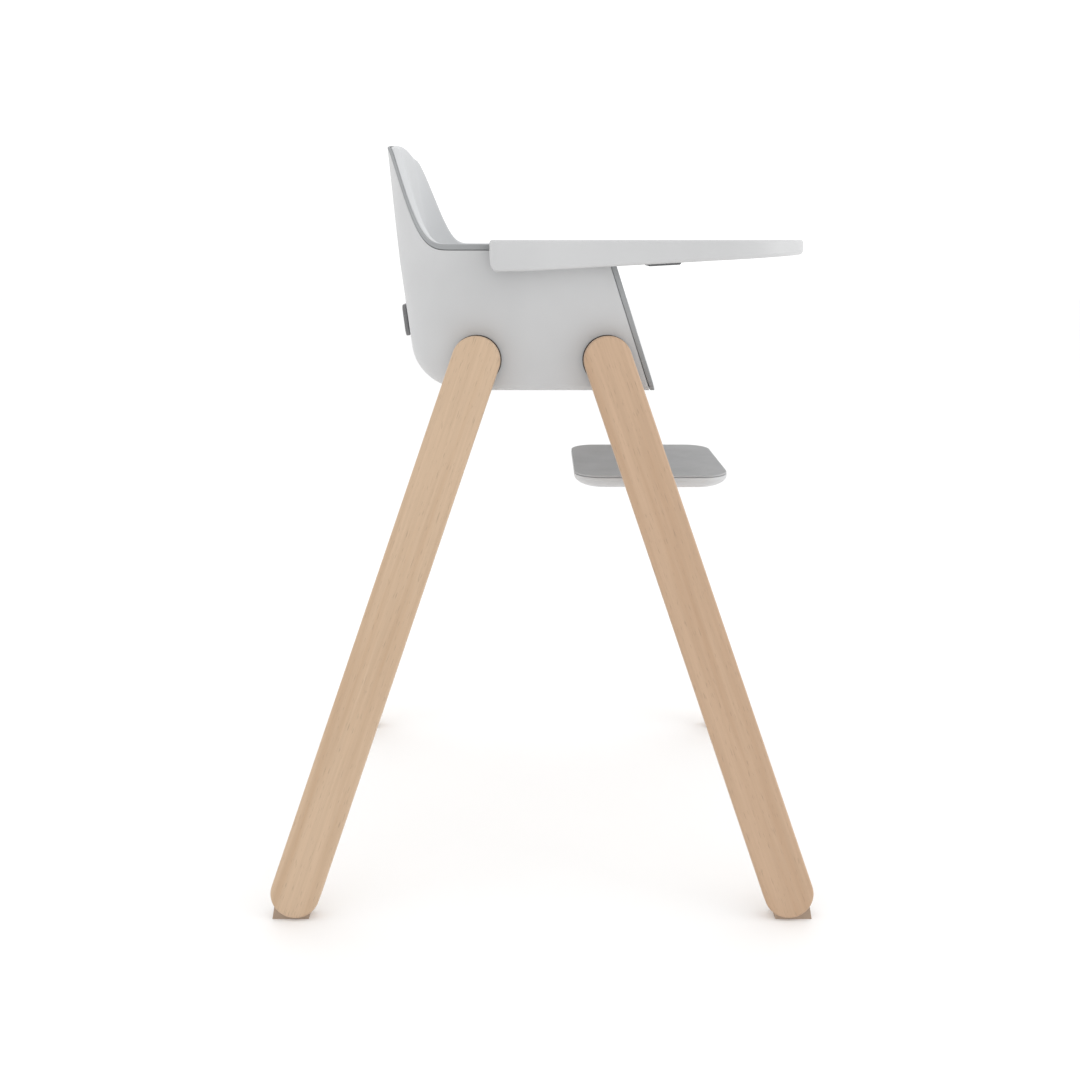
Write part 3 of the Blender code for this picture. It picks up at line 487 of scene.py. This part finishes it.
def rim_height(column, drop_share=1.0):
    """The rim: level along the armrests, rising round the corners to the top of the back."""
    kind, t, _ = column
    if kind == "side":
        return RIM_Z - NOSE_DROP * max(1 - t / NOSE_REACH, 0.0) ** 2 * drop_share
    angle = t if kind == "arc" else 90.0
    share = min(max((angle - RISE_START) / (RISE_END - RISE_START), 0.0), 1.0)
    rise = smooth_step(0.0, 1.0, share**RISE_POWER)
    radius = corner_radius(RIM_Z + 0.75 * RIM_RISE)
    across = SHELL_MOST_WIDTH - radius
    y = t * across if kind == "back" else across + radius * math.cos(math.radians(angle))
    return RIM_Z + rise * (RIM_RISE + RIM_CROWN * bulge(y, SHELL_MOST_WIDTH))


# Faces of the seat's walls: bottom height, rounding of the back's foot, rounding of the sides' feet
OUTER = (SHELL_BOTTOM, 0.046, 0.007)
INNER = (SHELL_BOTTOM + SHELL_WALL, 0.043, 0.004)
LINER_UNDER = (SEAT_Z - LINER_FLOOR, 0.034, 0.024)
LINER_TOP = (SEAT_Z, 0.030, 0.020)
LOW_STEPS, WALL_STEPS, FRONT_STEPS = 14, 26, 30
SIDE_STEPS, ARC_STEPS, BACK_STEPS = 26, 28, 20


def low_heights(surface):
    radius = max(surface[1], surface[2])
    angles = [math.radians(90 * i / LOW_STEPS) for i in range(LOW_STEPS + 1)]
    return [surface[0] + radius * (1 - math.cos(angle)) for angle in angles]


def wall_column(column, surface, offset, top, crest=(), inset=0.0):
    """Points up one column: the bottom rounding, the wall, then the crest's (drop, offset) rows."""
    low = low_heights(surface)
    high = top - crest[0][0] if crest else top
    rise = [low[-1] + (high - low[-1]) * i / WALL_STEPS for i in range(1, WALL_STEPS)]
    rows = [(z, offset) for z in low + rise]
    rows += [(top - drop, deep) for drop, deep in crest] if crest else [(top, offset)]
    return [wall_point(column, z, deep, surface, inset) for z, deep in rows]


def tub(outer, inner):
    """A thin open tub between two grids, each a list of columns of points from the bottom up."""
    cols, tall, short = len(outer), len(outer[0]), len(inner[0])
    points = [p for column in outer for p in column] + [p for column in inner for p in column]
    base = cols * tall

    def out(r, c):
        return c * tall + r

    def near(r, c):
        return base + c * short + r

    faces = []
    for c in range(cols - 1):
        faces += [(out(r, c), out(r, c + 1), out(r + 1, c + 1), out(r + 1, c)) for r in range(tall - 1)]
        faces += [(near(r, c), near(r + 1, c), near(r + 1, c + 1), near(r, c + 1)) for r in range(short - 1)]
        faces.append((out(tall - 1, c), out(tall - 1, c + 1), near(short - 1, c + 1), near(short - 1, c)))
    faces.append(tuple(out(0, c) for c in range(cols)))
    faces.append(tuple(near(0, c) for c in range(cols))[::-1])
    for c in (0, cols - 1):
        ring = [out(r, c) for r in range(tall)] + [near(r, c) for r in range(short)][::-1]
        faces.append(tuple(ring))
    faces.append((out(0, 0), near(0, 0), near(0, cols - 1), out(0, cols - 1)))
    return points, faces


def thinned(column, full, thin):
    """A size of the trim, which shrinks from full along the armrests to thin at the top of the back."""
    kind, t, _ = column
    angle = {"side": 0.0, "arc": t, "back": 90.0}[kind]
    return full + (thin - full) * smooth_step(TAPER_START, TAPER_END, angle)


def trim_band(column):
    return thinned(column, TRIM_BAND, TRIM_TOP_BAND)


def trim_depth(column):
    return thinned(column, TRIM_DEPTH, TRIM_TOP_DEPTH)


def make_shell(look):
    inset = TRIM_BAND + 2 * GAP
    outer, inner = [], []
    for column in columns():
        top = rim_height(column, SHELL_DROP_SHARE) - trim_band(column) - 2 * GAP
        outer.append(wall_column(column, OUTER, 0.0, top, inset=inset))
        inner.append(wall_column(column, INNER, SHELL_WALL, top, inset=inset))
    shell = finish_mesh("shell", *tub(outer, inner), look, 50.0)
    return show(settle(shell), "seat", "shell_white", "seat_shell")


# Rows of the liner's crest: drop below the rim, offset, and how far the row follows the trim as that thins
LINER_OUTSIDE = (
    (0.012, 0.0100, 0.0),
    (0.0075, 0.0061, 1.0),
    (0.0036, 0.0061, 1.0),
    (0.0016, 0.0063, 1.0),
    (0.0006, 0.0069, 1.0),
)
LINER_INSIDE = (
    (0.0200, 0.0140, 0.0),
    (0.0100, 0.0140, 0.0),
    (0.0052, 0.0139, 0.0),
    (0.0032, 0.0136, 0.0),
    (0.0017, 0.0129, 0.0),
    (0.0007, 0.0118, 0.1),
    (0.0002, 0.0104, 0.4),
    (0.0, 0.0088, 0.8),
)


def crest_rows(rows, column):
    """The crest's (drop, offset) rows in one column, moved outwards as the trim thins."""
    thin = TRIM_DEPTH - trim_depth(column)
    return [(drop, deep - share * thin) for drop, deep, share in rows]


def strap_slot(x, y):
    """A cutter for one strap's slot through the seat pan."""
    half = STRAP_HALF_WIDTH + SLOT_MARGIN
    return box((x - SLOT_HALF, y - half, SEAT_Z - 0.010), (x + SLOT_HALF, y + half, SEAT_Z + 0.010))


def make_liner(look):
    outer, inner = [], []
    for column in columns():
        top = rim_height(column)
        outer.append(wall_column(column, LINER_UNDER, LINER_BACK, top, crest_rows(LINER_OUTSIDE, column)))
        inner.append(wall_column(column, LINER_TOP, LINER_FACE, top, crest_rows(LINER_INSIDE, column)))
    liner = finish_mesh("liner", *tub(outer, inner), look, 50.0)
    carve(liner, *(strap_slot(x, y) for x, y in STRAP_SLOTS))
    liner.data.set_sharp_from_angle(angle=math.radians(50))
    return show(settle(liner), "seat", "liner_white", "seat_liner")


def trim_sections():
    """The trim's four-cornered sections: up one front edge, round the rim and down the other front edge."""
    wall = columns()

    def front_run(column):
        top = rim_height(column)
        foot = SEAT_Z - LINER_FLOOR - GAP
        run = []
        for i in range(FRONT_STEPS + 1):
            share = i / FRONT_STEPS
            z_out = SHELL_BOTTOM + (top - SHELL_BOTTOM) * share
            z_in = foot + (top - foot) * share
            out = wall_point(column, z_out, 0.0, OUTER)
            near = wall_point(column, z_in, TRIM_DEPTH + 2 * GAP, LINER_UNDER)
            near = (near[0], near[1] + column[2] * GAP, near[2])
            run.append([out, near, (near[0] - TRIM_BAND, *near[1:]), (out[0] - TRIM_BAND, *out[1:])])
        return run

    sections = front_run(wall[0])
    for column in wall[1:-1]:
        top = rim_height(column)
        turn = math.radians(90 * min(column[1] / 0.06, 1.0)) if column[0] == "side" else math.radians(90)
        back, down = math.cos(turn), math.sin(turn)
        section = []
        depth = trim_depth(column)
        for offset, deep in ((0.0, 0), (depth, 0), (depth, 1), (0.0, 1)):
            x, y, z = wall_point(column, top - deep * down * trim_band(column), offset, OUTER)
            section.append((x - deep * back * TRIM_BAND, y, z))
        sections.append(section)
    return sections + front_run(wall[-1])[::-1]


def make_trim(look):
    """The trim as one closed band with round edges."""
    profile = rounded((0.0, 0.0), (1.0, 1.0), 0.22, 4)
    rings = []
    for section in trim_sections():
        a, b, c, d = (Vector(p) for p in section)
        rings.append([
            a * (1 - u) * (1 - v) + b * u * (1 - v) + c * u * v + d * (1 - u) * v
            for u, v in profile
        ])
    trim = finish_mesh("edge_trim", *loft(rings), look, 55.0)
    return show(settle(trim), "seat", "trim_grey", "rim_trim")


# ---------------------------------------------------------------- legs


def stadium(top, foot, length, steps=40):
    outline = []
    for i in range(steps + 1):
        angle = math.pi * i / steps
        outline.append((top * math.cos(angle), top * math.sin(angle)))
    for i in range(steps + 1):
        angle = math.pi + math.pi * i / steps
        outline.append((foot * math.cos(angle), foot * math.sin(angle) - length))
    return outline


def leg_matrix(end, side):
    """Leg space to world: origin on the outer face at the pivot, Z up the leg, thickness along side * -Y."""
    place = Matrix.Translation((end * PIVOT_X, side * LEG_FACE_Y, PIVOT_Z))
    return place @ Matrix.Rotation(side * LEG_SPLAY, 4, "X") @ Matrix.Rotation(-end * LEG_LEAN, 4, "Y")


def leg_rings(side, low, high, grow=0.0, radius=0.0):
    levels = slab_levels(low, high, radius) if radius else ((low, 0.0), (high, 0.0))
    rings = []
    for y, s in levels:
        outline = stadium(LEG_TOP_RADIUS + grow - s, LEG_FOOT_RADIUS + grow - s, LEG_LENGTH)
        rings.append([(x, -side * y, z) for x, z in outline])
    return rings


def make_leg(end, side, name, body, look):
    board = loft(leg_rings(side, 0.0, LEG_THICK, radius=LEG_EDGE))
    leg = finish_mesh(name + "_board", *moved(board, leg_matrix(end, side)), look, 50.0)
    return show(settle(leg), body, "beech", name + "_leg")


def make_foot(end, side, name, body, look):
    x = PIVOT_X + LEG_LENGTH * math.sin(LEG_LEAN)
    outline = [(end * (x + along), up) for along, up in FOOT_OUTLINE]
    outer = LEG_FACE_Y + (PIVOT_Z - 0.02) * math.tan(LEG_SPLAY)
    low, high = sorted((side * (outer - FOOT_OUTSIDE), side * (outer - FOOT_INSIDE)))
    foot = finish_mesh(name + "_pad", *prism(outline, "y", low, high), look)
    seat = loft(leg_rings(side, -0.01, LEG_THICK + 0.02, grow=0.0004))
    carve(foot, moved(seat, leg_matrix(end, side)))
    soften(foot, 0.0007, 2, 34.0)
    return show(settle(foot), body, "foot_rubber", name + "_foot")


# ---------------------------------------------------------------- footrest


def plate(shrink, radius):
    low = (FOOTREST_REAR + shrink, -FOOTREST_HALF_WIDTH + shrink)
    high = (FOOTREST_FRONT - shrink, FOOTREST_HALF_WIDTH - shrink)
    return rounded(low, high, radius, 14)


def make_footrest(white, grey):
    reach, depth = FOOTREST_ROUND, FOOTREST_TOP - FOOTREST_BOTTOM
    rings = []
    for i in range(15):
        turn = math.radians(90 * i / 14)
        shrink = reach * (1 - math.sin(turn))
        z = FOOTREST_BOTTOM + depth * (1 - math.cos(turn)) * 0.86
        rings.append([(x, y, z) for x, y in plate(shrink, FOOTREST_CORNER - shrink * 0.6)])
    for shrink, deep in ((0.0, 0.0012), (0.0002, 0.0004), (0.0008, 0.0)):
        rings.append([(x, y, FOOTREST_TOP - deep) for x, y in plate(shrink, FOOTREST_CORNER - shrink)])
    base = finish_mesh("footrest_dish", *loft(rings), white, 55.0)
    show(settle(base), "footrest", "tray_white", "footrest_base")
    low = FOOTREST_TOP + GAP
    levels = [(low, 0.0011), (low + 0.0006, 0.0004), (low + 0.0017, 0.0004)]
    for i in range(1, 6):
        turn = math.radians(18 * i)
        up = low + MAT_THICK - MAT_EDGE_HEIGHT * (1 - math.sin(turn))
        levels.append((up, 0.0004 + MAT_EDGE_WIDTH * (1 - math.cos(turn))))
    rings = [[(x, y, z) for x, y in plate(shrink, FOOTREST_CORNER - shrink)] for z, shrink in levels]
    mat = finish_mesh("footrest_pad", *loft(rings), grey, 60.0)
    show(settle(mat), "footrest", "mat_rubber", "footrest_mat")


# ---------------------------------------------------------------- tray


def tray_outline(offset):
    """The (x, y) outline of the tray with its belly cut-out, pulled in by offset."""
    front, rear = TRAY_FRONT - offset, TRAY_REAR + offset
    width, belly = TRAY_HALF_WIDTH - offset, BELLY_RADIUS + offset
    big, small, nose = TRAY_FRONT_RADIUS - offset, TRAY_REAR_RADIUS - offset, TRAY_NOSE - offset
    half = []

    def arc(x, y, radius, start, end, count):
        for i in range(count + 1):
            angle = math.radians(start + (end - start) * i / count)
            half.append((x + radius * math.cos(angle), y + radius * math.sin(angle)))

    arc(front - big, width - big, big, 0, 90, 36)
    half.extend((0.20 - 0.012 * i, width) for i in range(1, 19))
    arc(rear + small, width - small, small, 90, 180, 18)
    arc(rear + nose, belly + nose, nose, 180, 270, 12)
    arc(BELLY_CENTRE, 0.0, belly, 90, 3, 28)
    return half + [(x, -y) for x, y in half[::-1]]


def skirt_z(x, y):
    """The skirt's lower edge: a slant with a round heel at the sides, and a short lip round the cut-out."""
    if x < BELLY_CENTRE + BELLY_RADIUS + 0.010 and abs(y) < BELLY_RADIUS + TRAY_NOSE + 0.0005:
        return TRAY_TOP - TRAY_LIP
    heel = inward(TRAY_HEEL_RADIUS, x - TRAY_REAR)
    return TRAY_SKIRT_Z + (x - SKIRT_START - TRAY_REAR) * TRAY_SKIRT_SLOPE + heel


def pan(shrink):
    low = (PAN_REAR + shrink, -PAN_HALF_WIDTH + shrink)
    high = (PAN_FRONT - shrink, PAN_HALF_WIDTH - shrink)
    return rounded(low, high, PAN_RADIUS - shrink, 20)


# Round edges of the tray: (inset, height above the skirt's edge) and (inset, drop below the top)
TRAY_SKIRT_EDGE = ((0.0038, 0.0), (0.0024, 0.0004), (0.0012, 0.0014), (0.0004, 0.0028), (0.0, 0.0048))
TRAY_TOP_EDGE = ((0.0, 0.0038), (0.0003, 0.0022), (0.0010, 0.0010), (0.0020, 0.0003), (0.0034, 0.0))
# The dish's wall from its floor up: (height, inset)
DISH_PROFILE = (
    (DISH_FLOOR, 0.0135),
    (0.80075, 0.0118),
    (0.8012, 0.0104),
    (0.8020, 0.0092),
    (0.8032, 0.0084),
    (0.8075, 0.0072),
    (0.8088, 0.0065),
    (0.8096, 0.0055),
    (0.81001, 0.0040),
    (0.8104, 0.0030),
    (0.8140, 0.0030),
)


def make_tray(look):
    rings = []
    for offset, up in TRAY_SKIRT_EDGE:
        rings.append([(x, y, skirt_z(x, y) + up) for x, y in tray_outline(offset)])
    for offset, down in TRAY_TOP_EDGE:
        rings.append([(x, y, TRAY_TOP - down) for x, y in tray_outline(offset)])
    tray = finish_mesh("tray_shell", *loft(rings), look)
    ceiling = TRAY_TOP - TRAY_SHEET
    hollow = loft([[(x, y, z) for x, y in tray_outline(TRAY_WALL)] for z in (0.74, ceiling)])
    arm_gap = box((TRAY_REAR - 0.010, -ARM_GAP_HALF, 0.74), (TRAY_REAR + 0.030, ARM_GAP_HALF, ceiling))
    carve(tray, hollow, arm_gap)
    carve(tray, prism(pan(0.0), "z", PAN_UNDERSIDE, TRAY_TOP - 0.002), operation="UNION")
    carve(tray, loft([[(x, y, z) for x, y in pan(shrink)] for z, shrink in DISH_PROFILE]))
    tray.data.set_sharp_from_angle(angle=math.radians(38))
    return show(settle(tray), "tray", "tray_white", "tray_body")


# The lever's (x, z) outline: a finger paddle with an arm up to its pin
LEVER_OUTLINE = (
    (0.1368, 0.7798),
    (0.1408, 0.7757),
    (0.1800, 0.7778),
    (0.1822, 0.7794),
    (0.1822, 0.7822),
    (0.1460, 0.7806),
    (0.1428, 0.7830),
    (0.1428, 0.7880),
    (0.1412, 0.7895),
    (0.1380, 0.7895),
    (0.1368, 0.7880),
)
LEVER_HALF_WIDTH = 0.030
GROOVE_COUNT, GROOVE_START, GROOVE_STEP, GROOVE_WIDTH, GROOVE_TOP = 5, 0.1500, 0.0060, 0.0018, 0.7772


def make_lever(look):
    """The squeeze lever, with finger ribs on its underside."""
    lever = finish_mesh("lever_paddle", *prism(LEVER_OUTLINE, "y", -LEVER_HALF_WIDTH, LEVER_HALF_WIDTH), look)
    grooves = []
    for i in range(GROOVE_COUNT):
        x = GROOVE_START + GROOVE_STEP * i
        reach = LEVER_HALF_WIDTH - 0.006
        grooves.append(box((x, -reach, 0.770), (x + GROOVE_WIDTH, reach, GROOVE_TOP + 0.0003 * i)))
    carve(lever, *grooves)
    soften(lever, 0.0006, 2, 38.0)
    return show(settle(lever), "tray_lever", "dark_plastic", "tray_lever")


# ---------------------------------------------------------------- handle and harness


def back_matrix():
    x = BACK_X + (HANDLE_Z - SHELL_BOTTOM) * BACK_SLOPE - BACK_BULGE
    lean = math.atan(BACK_SLOPE)
    mirror = Matrix.Scale(-1, 4, (1, 0, 0))
    return Matrix.Translation((x, 0, HANDLE_Z)) @ Matrix.Rotation(lean, 4, "Y") @ mirror


def side_box(spans, side):
    """A box given by its spans along X, Y and Z, mirrored to one side."""
    (near, far), across, (low, high) = spans
    right, left = sorted(side * y for y in across)
    return box((near, right, low), (far, left, high))


def make_handle(look):
    """The release handle: a plate with round edges, a finger hollow below and two pivot knuckles."""
    place = back_matrix()
    high = HANDLE_HALF_HEIGHT
    rings = []
    for out, shrink in slab_levels(HANDLE_INNER, HANDLE_OUTER, 0.0014, 5):
        wide, tall = HANDLE_HALF_WIDTH - shrink, high - shrink
        face = rounded((-wide, -tall), (wide, tall), 0.007)
        rings.append([(out, y, z) for y, z in face])
    handle = finish_mesh("handle_plate", *moved(loft(rings), place), look, 50.0)
    cutters, knuckles = [], []
    for side in (-1, 1):
        cutters.append(side_box(POCKET, side))
        knuckles.append(side_box(KNUCKLE, side))
    hollow = []
    for x, s in FINGER_HOLLOW:
        outline = rounded((-0.030 + s, -0.0150 + s * 0.6), (0.030 - s, -0.0010 - s * 0.6), 0.0045)
        hollow.append([(x, y, z) for y, z in outline])
    cutters.append(loft(hollow))
    carve(handle, *(moved(shape, place) for shape in cutters))
    carve(handle, *(moved(shape, place) for shape in knuckles), operation="UNION")
    return show(settle(handle), "release_handle", "dark_plastic", "release_handle")


STRAP_STEPS = 60


def along_strap(start, end):
    """A strap's own space, with +X from its start to its end, and its length."""
    run = Vector(end) - Vector(start)
    return Matrix.Translation(start) @ Matrix.Rotation(math.atan2(run.y, run.x), 4, "Z"), run.length


def strap_section(thick):
    """The strap's flat (y, z) section with its long edges cut off aslant."""
    half = STRAP_HALF_WIDTH
    slim = half - STRAP_EDGE
    left = [(slim, 0.0), (half, STRAP_EDGE), (half, thick - STRAP_EDGE), (slim, thick), (half * 0.5, thick)]
    right = [(-y, z) for y, z in left[::-1]]
    return left + [(0.0, thick)] + right + [(0.0, 0.0)]


def make_strap(name, start, end, node, look):
    """A webbing strap lying on the seat, thicker where it is folded back and sewn."""
    place, length = along_strap(start, end)
    rings = []
    for i in range(STRAP_STEPS + 1):
        share = i / STRAP_STEPS
        x = length * share
        thick = STRAP_THIN + STRAP_FOLD * smooth_step(0.70, 0.72, share)
        rings.append([(x, y, z) for y, z in strap_section(thick)])
    strap = finish_mesh(name, *loft(rings), look, 55.0, place)
    return show(strap, "seat", "webbing", node)


STITCH_PITCH, STITCH_HALF, STITCH_LIFT = 0.0026, 0.00022, 0.00018
# Faces of one stitch over its eight points
STITCH_FACES = (
    (0, 1, 5, 4), (4, 5, 2, 3), (1, 0, 6, 7), (7, 6, 3, 2),
    (0, 4, 6), (4, 3, 6), (1, 7, 5), (5, 7, 2),
)


def stitch(p, q):
    """The eight points of one stitch: a flat diamond from p to q, lifted in the middle."""
    run = (q - p).normalized()
    side = Vector((-run.y, run.x, 0)) * STITCH_HALF
    lift = Vector((0, 0, STITCH_LIFT))
    middle = (p + q) / 2
    ends = [p + side, p - side, q - side, q + side]
    return ends + [middle + side + lift, middle - side + lift, middle + side - lift, middle - side - lift]


def make_stitches(name, start, end, look):
    """A box of stitches with a diagonal over the folded end of a strap."""
    place, length = along_strap(start, end)
    first, last, half = length * 0.76, length * 0.96, 0.0095
    corners = [(first, -half), (last, -half), (last, half), (first, half), (first, -half), (last, half)]
    points, faces = [], []
    for (x0, y0), (x1, y1) in zip(corners, corners[1:]):
        near, far = Vector((x0, y0, STRAP_THIN + STRAP_FOLD)), Vector((x1, y1, STRAP_THIN + STRAP_FOLD))
        count = max(int((far - near).length / STITCH_PITCH), 2)
        for i in range(count):
            base = len(points)
            points += stitch(near.lerp(far, (i + 0.15) / count), near.lerp(far, (i + 0.85) / count))
            faces += [tuple(base + k for k in face) for face in STITCH_FACES]
    stitches = finish_mesh(name, points, faces, look, 60.0, place)
    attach(stitches, "seat")
    return stitches


def make_tongue(word, side, look):
    """A belt's flat tongue, which is pushed into the buckle from its side."""
    low, high = sorted((side * TONGUE_Y, side * (TONGUE_Y + TONGUE_REACH)))
    rings = []
    for up, s in slab_levels(SEAT_Z + TONGUE_LOW, SEAT_Z + TONGUE_HIGH, 0.0012, 4):
        corner = (BUCKLE_X - TONGUE_HALF_WIDTH + s, low + s), (BUCKLE_X + TONGUE_HALF_WIDTH - s, high - s)
        rings.append([(x, y, up) for x, y in rounded(*corner, 0.003, 6)])
    tongue = finish_mesh("tongue_" + word, *loft(rings), look, 50.0)
    return show(settle(tongue), "seat", "dark_plastic", "buckle_tongue_" + word)


def make_buckle(look):
    z = SEAT_Z + STRAP_LIFT
    rings = []
    for up, s in slab_levels(z, z + BUCKLE_HEIGHT, 0.0028, 6):
        wide, long = BUCKLE_HALF_WIDTH - s, BUCKLE_HALF_LENGTH - s
        outline = rounded((BUCKLE_X - long, -wide), (BUCKLE_X + long, wide), 0.006, 8)
        rings.append([(x, y, up) for x, y in outline])
    buckle = finish_mesh("buckle_case", *loft(rings), look, 50.0)
    carve(buckle, prism(circle(BUCKLE_X, 0.0, BUTTON_RADIUS + 0.0004), "z", z + WELL_DEPTH, 0.69))
    soften(buckle, 0.0004, 2, 50.0)
    return show(settle(buckle), "seat", "dark_plastic", "buckle_body")


def make_button(look):
    """The buckle's button, with a round edge and a slight finger hollow."""
    z = SEAT_Z + STRAP_LIFT
    levels = [(z + BUTTON_LOW, 0.0), (z + BUTTON_SHOULDER, 0.0)]
    for turn in (0.3, 0.6, 0.9, 1.2, 1.57):
        up = z + BUTTON_SHOULDER + BUTTON_EDGE * math.sin(turn)
        levels.append((up, BUTTON_EDGE * (1 - math.cos(turn))))
    levels += [(z + up, s) for up, s in BUTTON_HOLLOW]
    rings = [[(x, y, up) for x, y in circle(BUCKLE_X, 0.0, BUTTON_RADIUS - s)] for up, s in levels]
    button = finish_mesh("button_cap", *loft(rings), look, 50.0)
    return show(settle(button), "buckle_button", "trim_grey", "buckle_button")


def make_harness(cloth, thread, dark, grey):
    z = SEAT_Z + STRAP_LIFT
    for side, word in ((-1, "right"), (1, "left")):
        start = (GUIDE_X + WAIST_START, side * (GUIDE_Y - 0.006), z)
        end = (BUCKLE_X - 0.004, side * (TONGUE_Y + WAIST_END), z)
        make_strap("strap_" + word, start, end, "waist_strap_" + word, cloth)
        make_stitches("stitches_" + word, start, end, thread)
        make_tongue(word, side, dark)
    start = (CROTCH_GUIDE_X - CROTCH_START, 0.0, z)
    end = (BUCKLE_X + BUCKLE_HALF_LENGTH + GAP, 0.0, z)
    make_strap("strap_crotch", start, end, "crotch_strap", cloth)
    make_stitches("stitches_crotch", start, end, thread)
    make_buckle(dark)
    make_button(grey)


# ---------------------------------------------------------------- scene


def repaint(looks):
    """Gives every CAD node that still shows its finished material; the leg spacers get a dark brown that
    paints the shadow gap round the leg tops.
    """
    slots = {part["node"]: part["material_slot"] for part in frame["record"]["subparts"]}
    for name, obj in frame["nodes"].items():
        look = looks["spacer_painted_shadow"] if name.endswith("_spacer") else looks[slots[name]]
        for place in obj.material_slots:
            place.material = look


FLOOR_REACH = 14.0
SKY_DIM, SKY_BRIGHT = 0.98, 1.16


def add_area(name, place, aim, size, power):
    light = bpy.data.lights.new(name, "AREA")
    light.energy = power
    light.shape = "RECTANGLE"
    light.size, light.size_y = size
    obj = bpy.data.objects.new(name, light)
    bpy.context.scene.collection.objects.link(obj)
    obj.location = place
    obj.rotation_euler = (Vector(aim) - Vector(place)).to_track_quat("-Z", "Y").to_euler()


def make_sky():
    """A white sky that grows slowly brighter from the camera's side to the far side."""
    world = bpy.data.worlds.new("studio")
    world.use_nodes = True
    tree = world.node_tree
    background = tree.nodes["Background"]
    background.inputs["Color"].default_value = (1.0, 1.0, 1.0, 1.0)
    split = tree.nodes.new("ShaderNodeSeparateXYZ")
    glow = tree.nodes.new("ShaderNodeMapRange")
    for socket, value in (("From Min", -1.0), ("From Max", 1.0), ("To Min", SKY_DIM), ("To Max", SKY_BRIGHT)):
        glow.inputs[socket].default_value = value
    tree.links.new(tree.nodes.new("ShaderNodeTexCoord").outputs["Generated"], split.inputs["Vector"])
    tree.links.new(split.outputs["Y"], glow.inputs["Value"])
    tree.links.new(glow.outputs["Result"], background.inputs["Strength"])
    bpy.context.scene.world = world


def make_studio():
    floor_look = Nodes("studio_floor")
    cloud = floor_look.noise(floor_look.coordinates(), 3.0, 3.0)
    floor_look.link(floor_look.ramp(cloud, (0.3, 0.95), (0.7, 0.96)), floor_look.shader.inputs["Base Color"])
    floor_look.shader.inputs["Roughness"].default_value = 0.9
    floor_look.shader.inputs["Specular IOR Level"].default_value = 0.1
    reach = FLOOR_REACH
    points = [(-reach, -reach, 0), (reach, -reach, 0), (reach, reach, 0), (-reach, reach, 0)]
    mesh = bpy.data.meshes.new("floor")
    mesh.from_pydata(points, [], [(0, 1, 2, 3)])
    mesh.materials.append(floor_look.material)
    floor = bpy.data.objects.new("floor", mesh)
    bpy.context.scene.collection.objects.link(floor)
    make_sky()
    add_area("top", (0.3, 0.0, 3.4), (0, 0, 0.4), (3.0, 3.0), 8.0)
    add_area("front_side", (2.6, -0.7, 1.3), (0.1, 0, 0.75), (1.8, 1.8), 12.0)
    add_area("back_side", (-2.6, -0.6, 1.5), (-0.1, 0, 0.75), (1.8, 1.8), 5.0)


def make_camera():
    data = bpy.data.cameras.new("camera")
    data.lens = 36.07
    data.sensor_width = 36.0
    data.shift_x = -2 / 1080
    data.shift_y = -120 / 1080
    data.clip_start = 0.01
    data.dof.use_dof = False
    camera = bpy.data.objects.new("camera", data)
    camera.location = (0.0, -1.460, 0.8098)
    camera.rotation_euler = (math.radians(90 - 9.445), 0.0, 0.0)
    bpy.context.scene.collection.objects.link(camera)
    bpy.context.scene.camera = camera


def main():
    looks = {
        "shell_white": plastic("moulded_shell", (0.535, 0.538, 0.542), 0.42, specular=0.4),
        "liner_white": plastic("moulded_liner", (0.60, 0.61, 0.62), 0.55, specular=0.35),
        "trim_grey": plastic("edge_grey", (0.305, 0.314, 0.32), 0.6, 0.0002, 0.06),
        "dark_plastic": plastic("fitting_dark", (0.18, 0.18, 0.185), 0.5, 0.0002, 0.10),
        "tray_white": plastic("moulded_tray", (0.56, 0.563, 0.567), 0.36, 0.00008),
        # Dark brown on the leg spacers: painted shadow of the gap between the leg tops and the shell
        "spacer_painted_shadow": plastic("spacer_painted_shadow_brown", (0.055, 0.042, 0.034), 0.7, 0.0002, 0.10),
        "foot_rubber": rubber("foot_taupe", (0.38, 0.285, 0.215), 0.78),
        "mat_rubber": rubber("mat_grey", (0.425, 0.428, 0.432), 0.72),
        "steel": steel("plated_steel", (0.58, 0.58, 0.60), 0.33),
        "webbing": webbing("harness_webbing", (0.16, 0.16, 0.17)),
    }
    looks["beech"] = wood("beech_spare", (0.60, 0.42, 0.28), (0, 0, 0))
    thread = webbing("harness_thread", (0.42, 0.42, 0.43))
    repaint(looks)
    make_shell(looks["shell_white"])
    make_liner(looks["liner_white"])
    make_trim(looks["trim_grey"])
    make_tray(looks["tray_white"])
    make_lever(looks["dark_plastic"])
    make_handle(looks["dark_plastic"])
    make_harness(looks["webbing"], thread, looks["dark_plastic"], looks["trim_grey"])
    make_footrest(looks["tray_white"], looks["mat_rubber"])
    # The front legs' beech is a darker copy of the rear legs' beech: painted shade on the front legs
    for end, word, tone in ((-1, "rear", (0.582, 0.418, 0.28)), (1, "front", (0.528, 0.36, 0.235))):
        for side, where in ((-1, "right"), (1, "left")):
            name = word + "_" + where
            shift = (1.7 * end, 0.9 * side, 2.3 + end + 0.6 * side)
            board = wood("beech_" + name, tone, shift, leg_matrix(end, side).inverted())
            make_leg(end, side, name, word + "_legs", board)
            make_foot(end, side, name, word + "_legs", looks["foot_rubber"])
    make_studio()
    make_camera()
    bpy.context.scene.view_settings.view_transform = "Standard"


main()
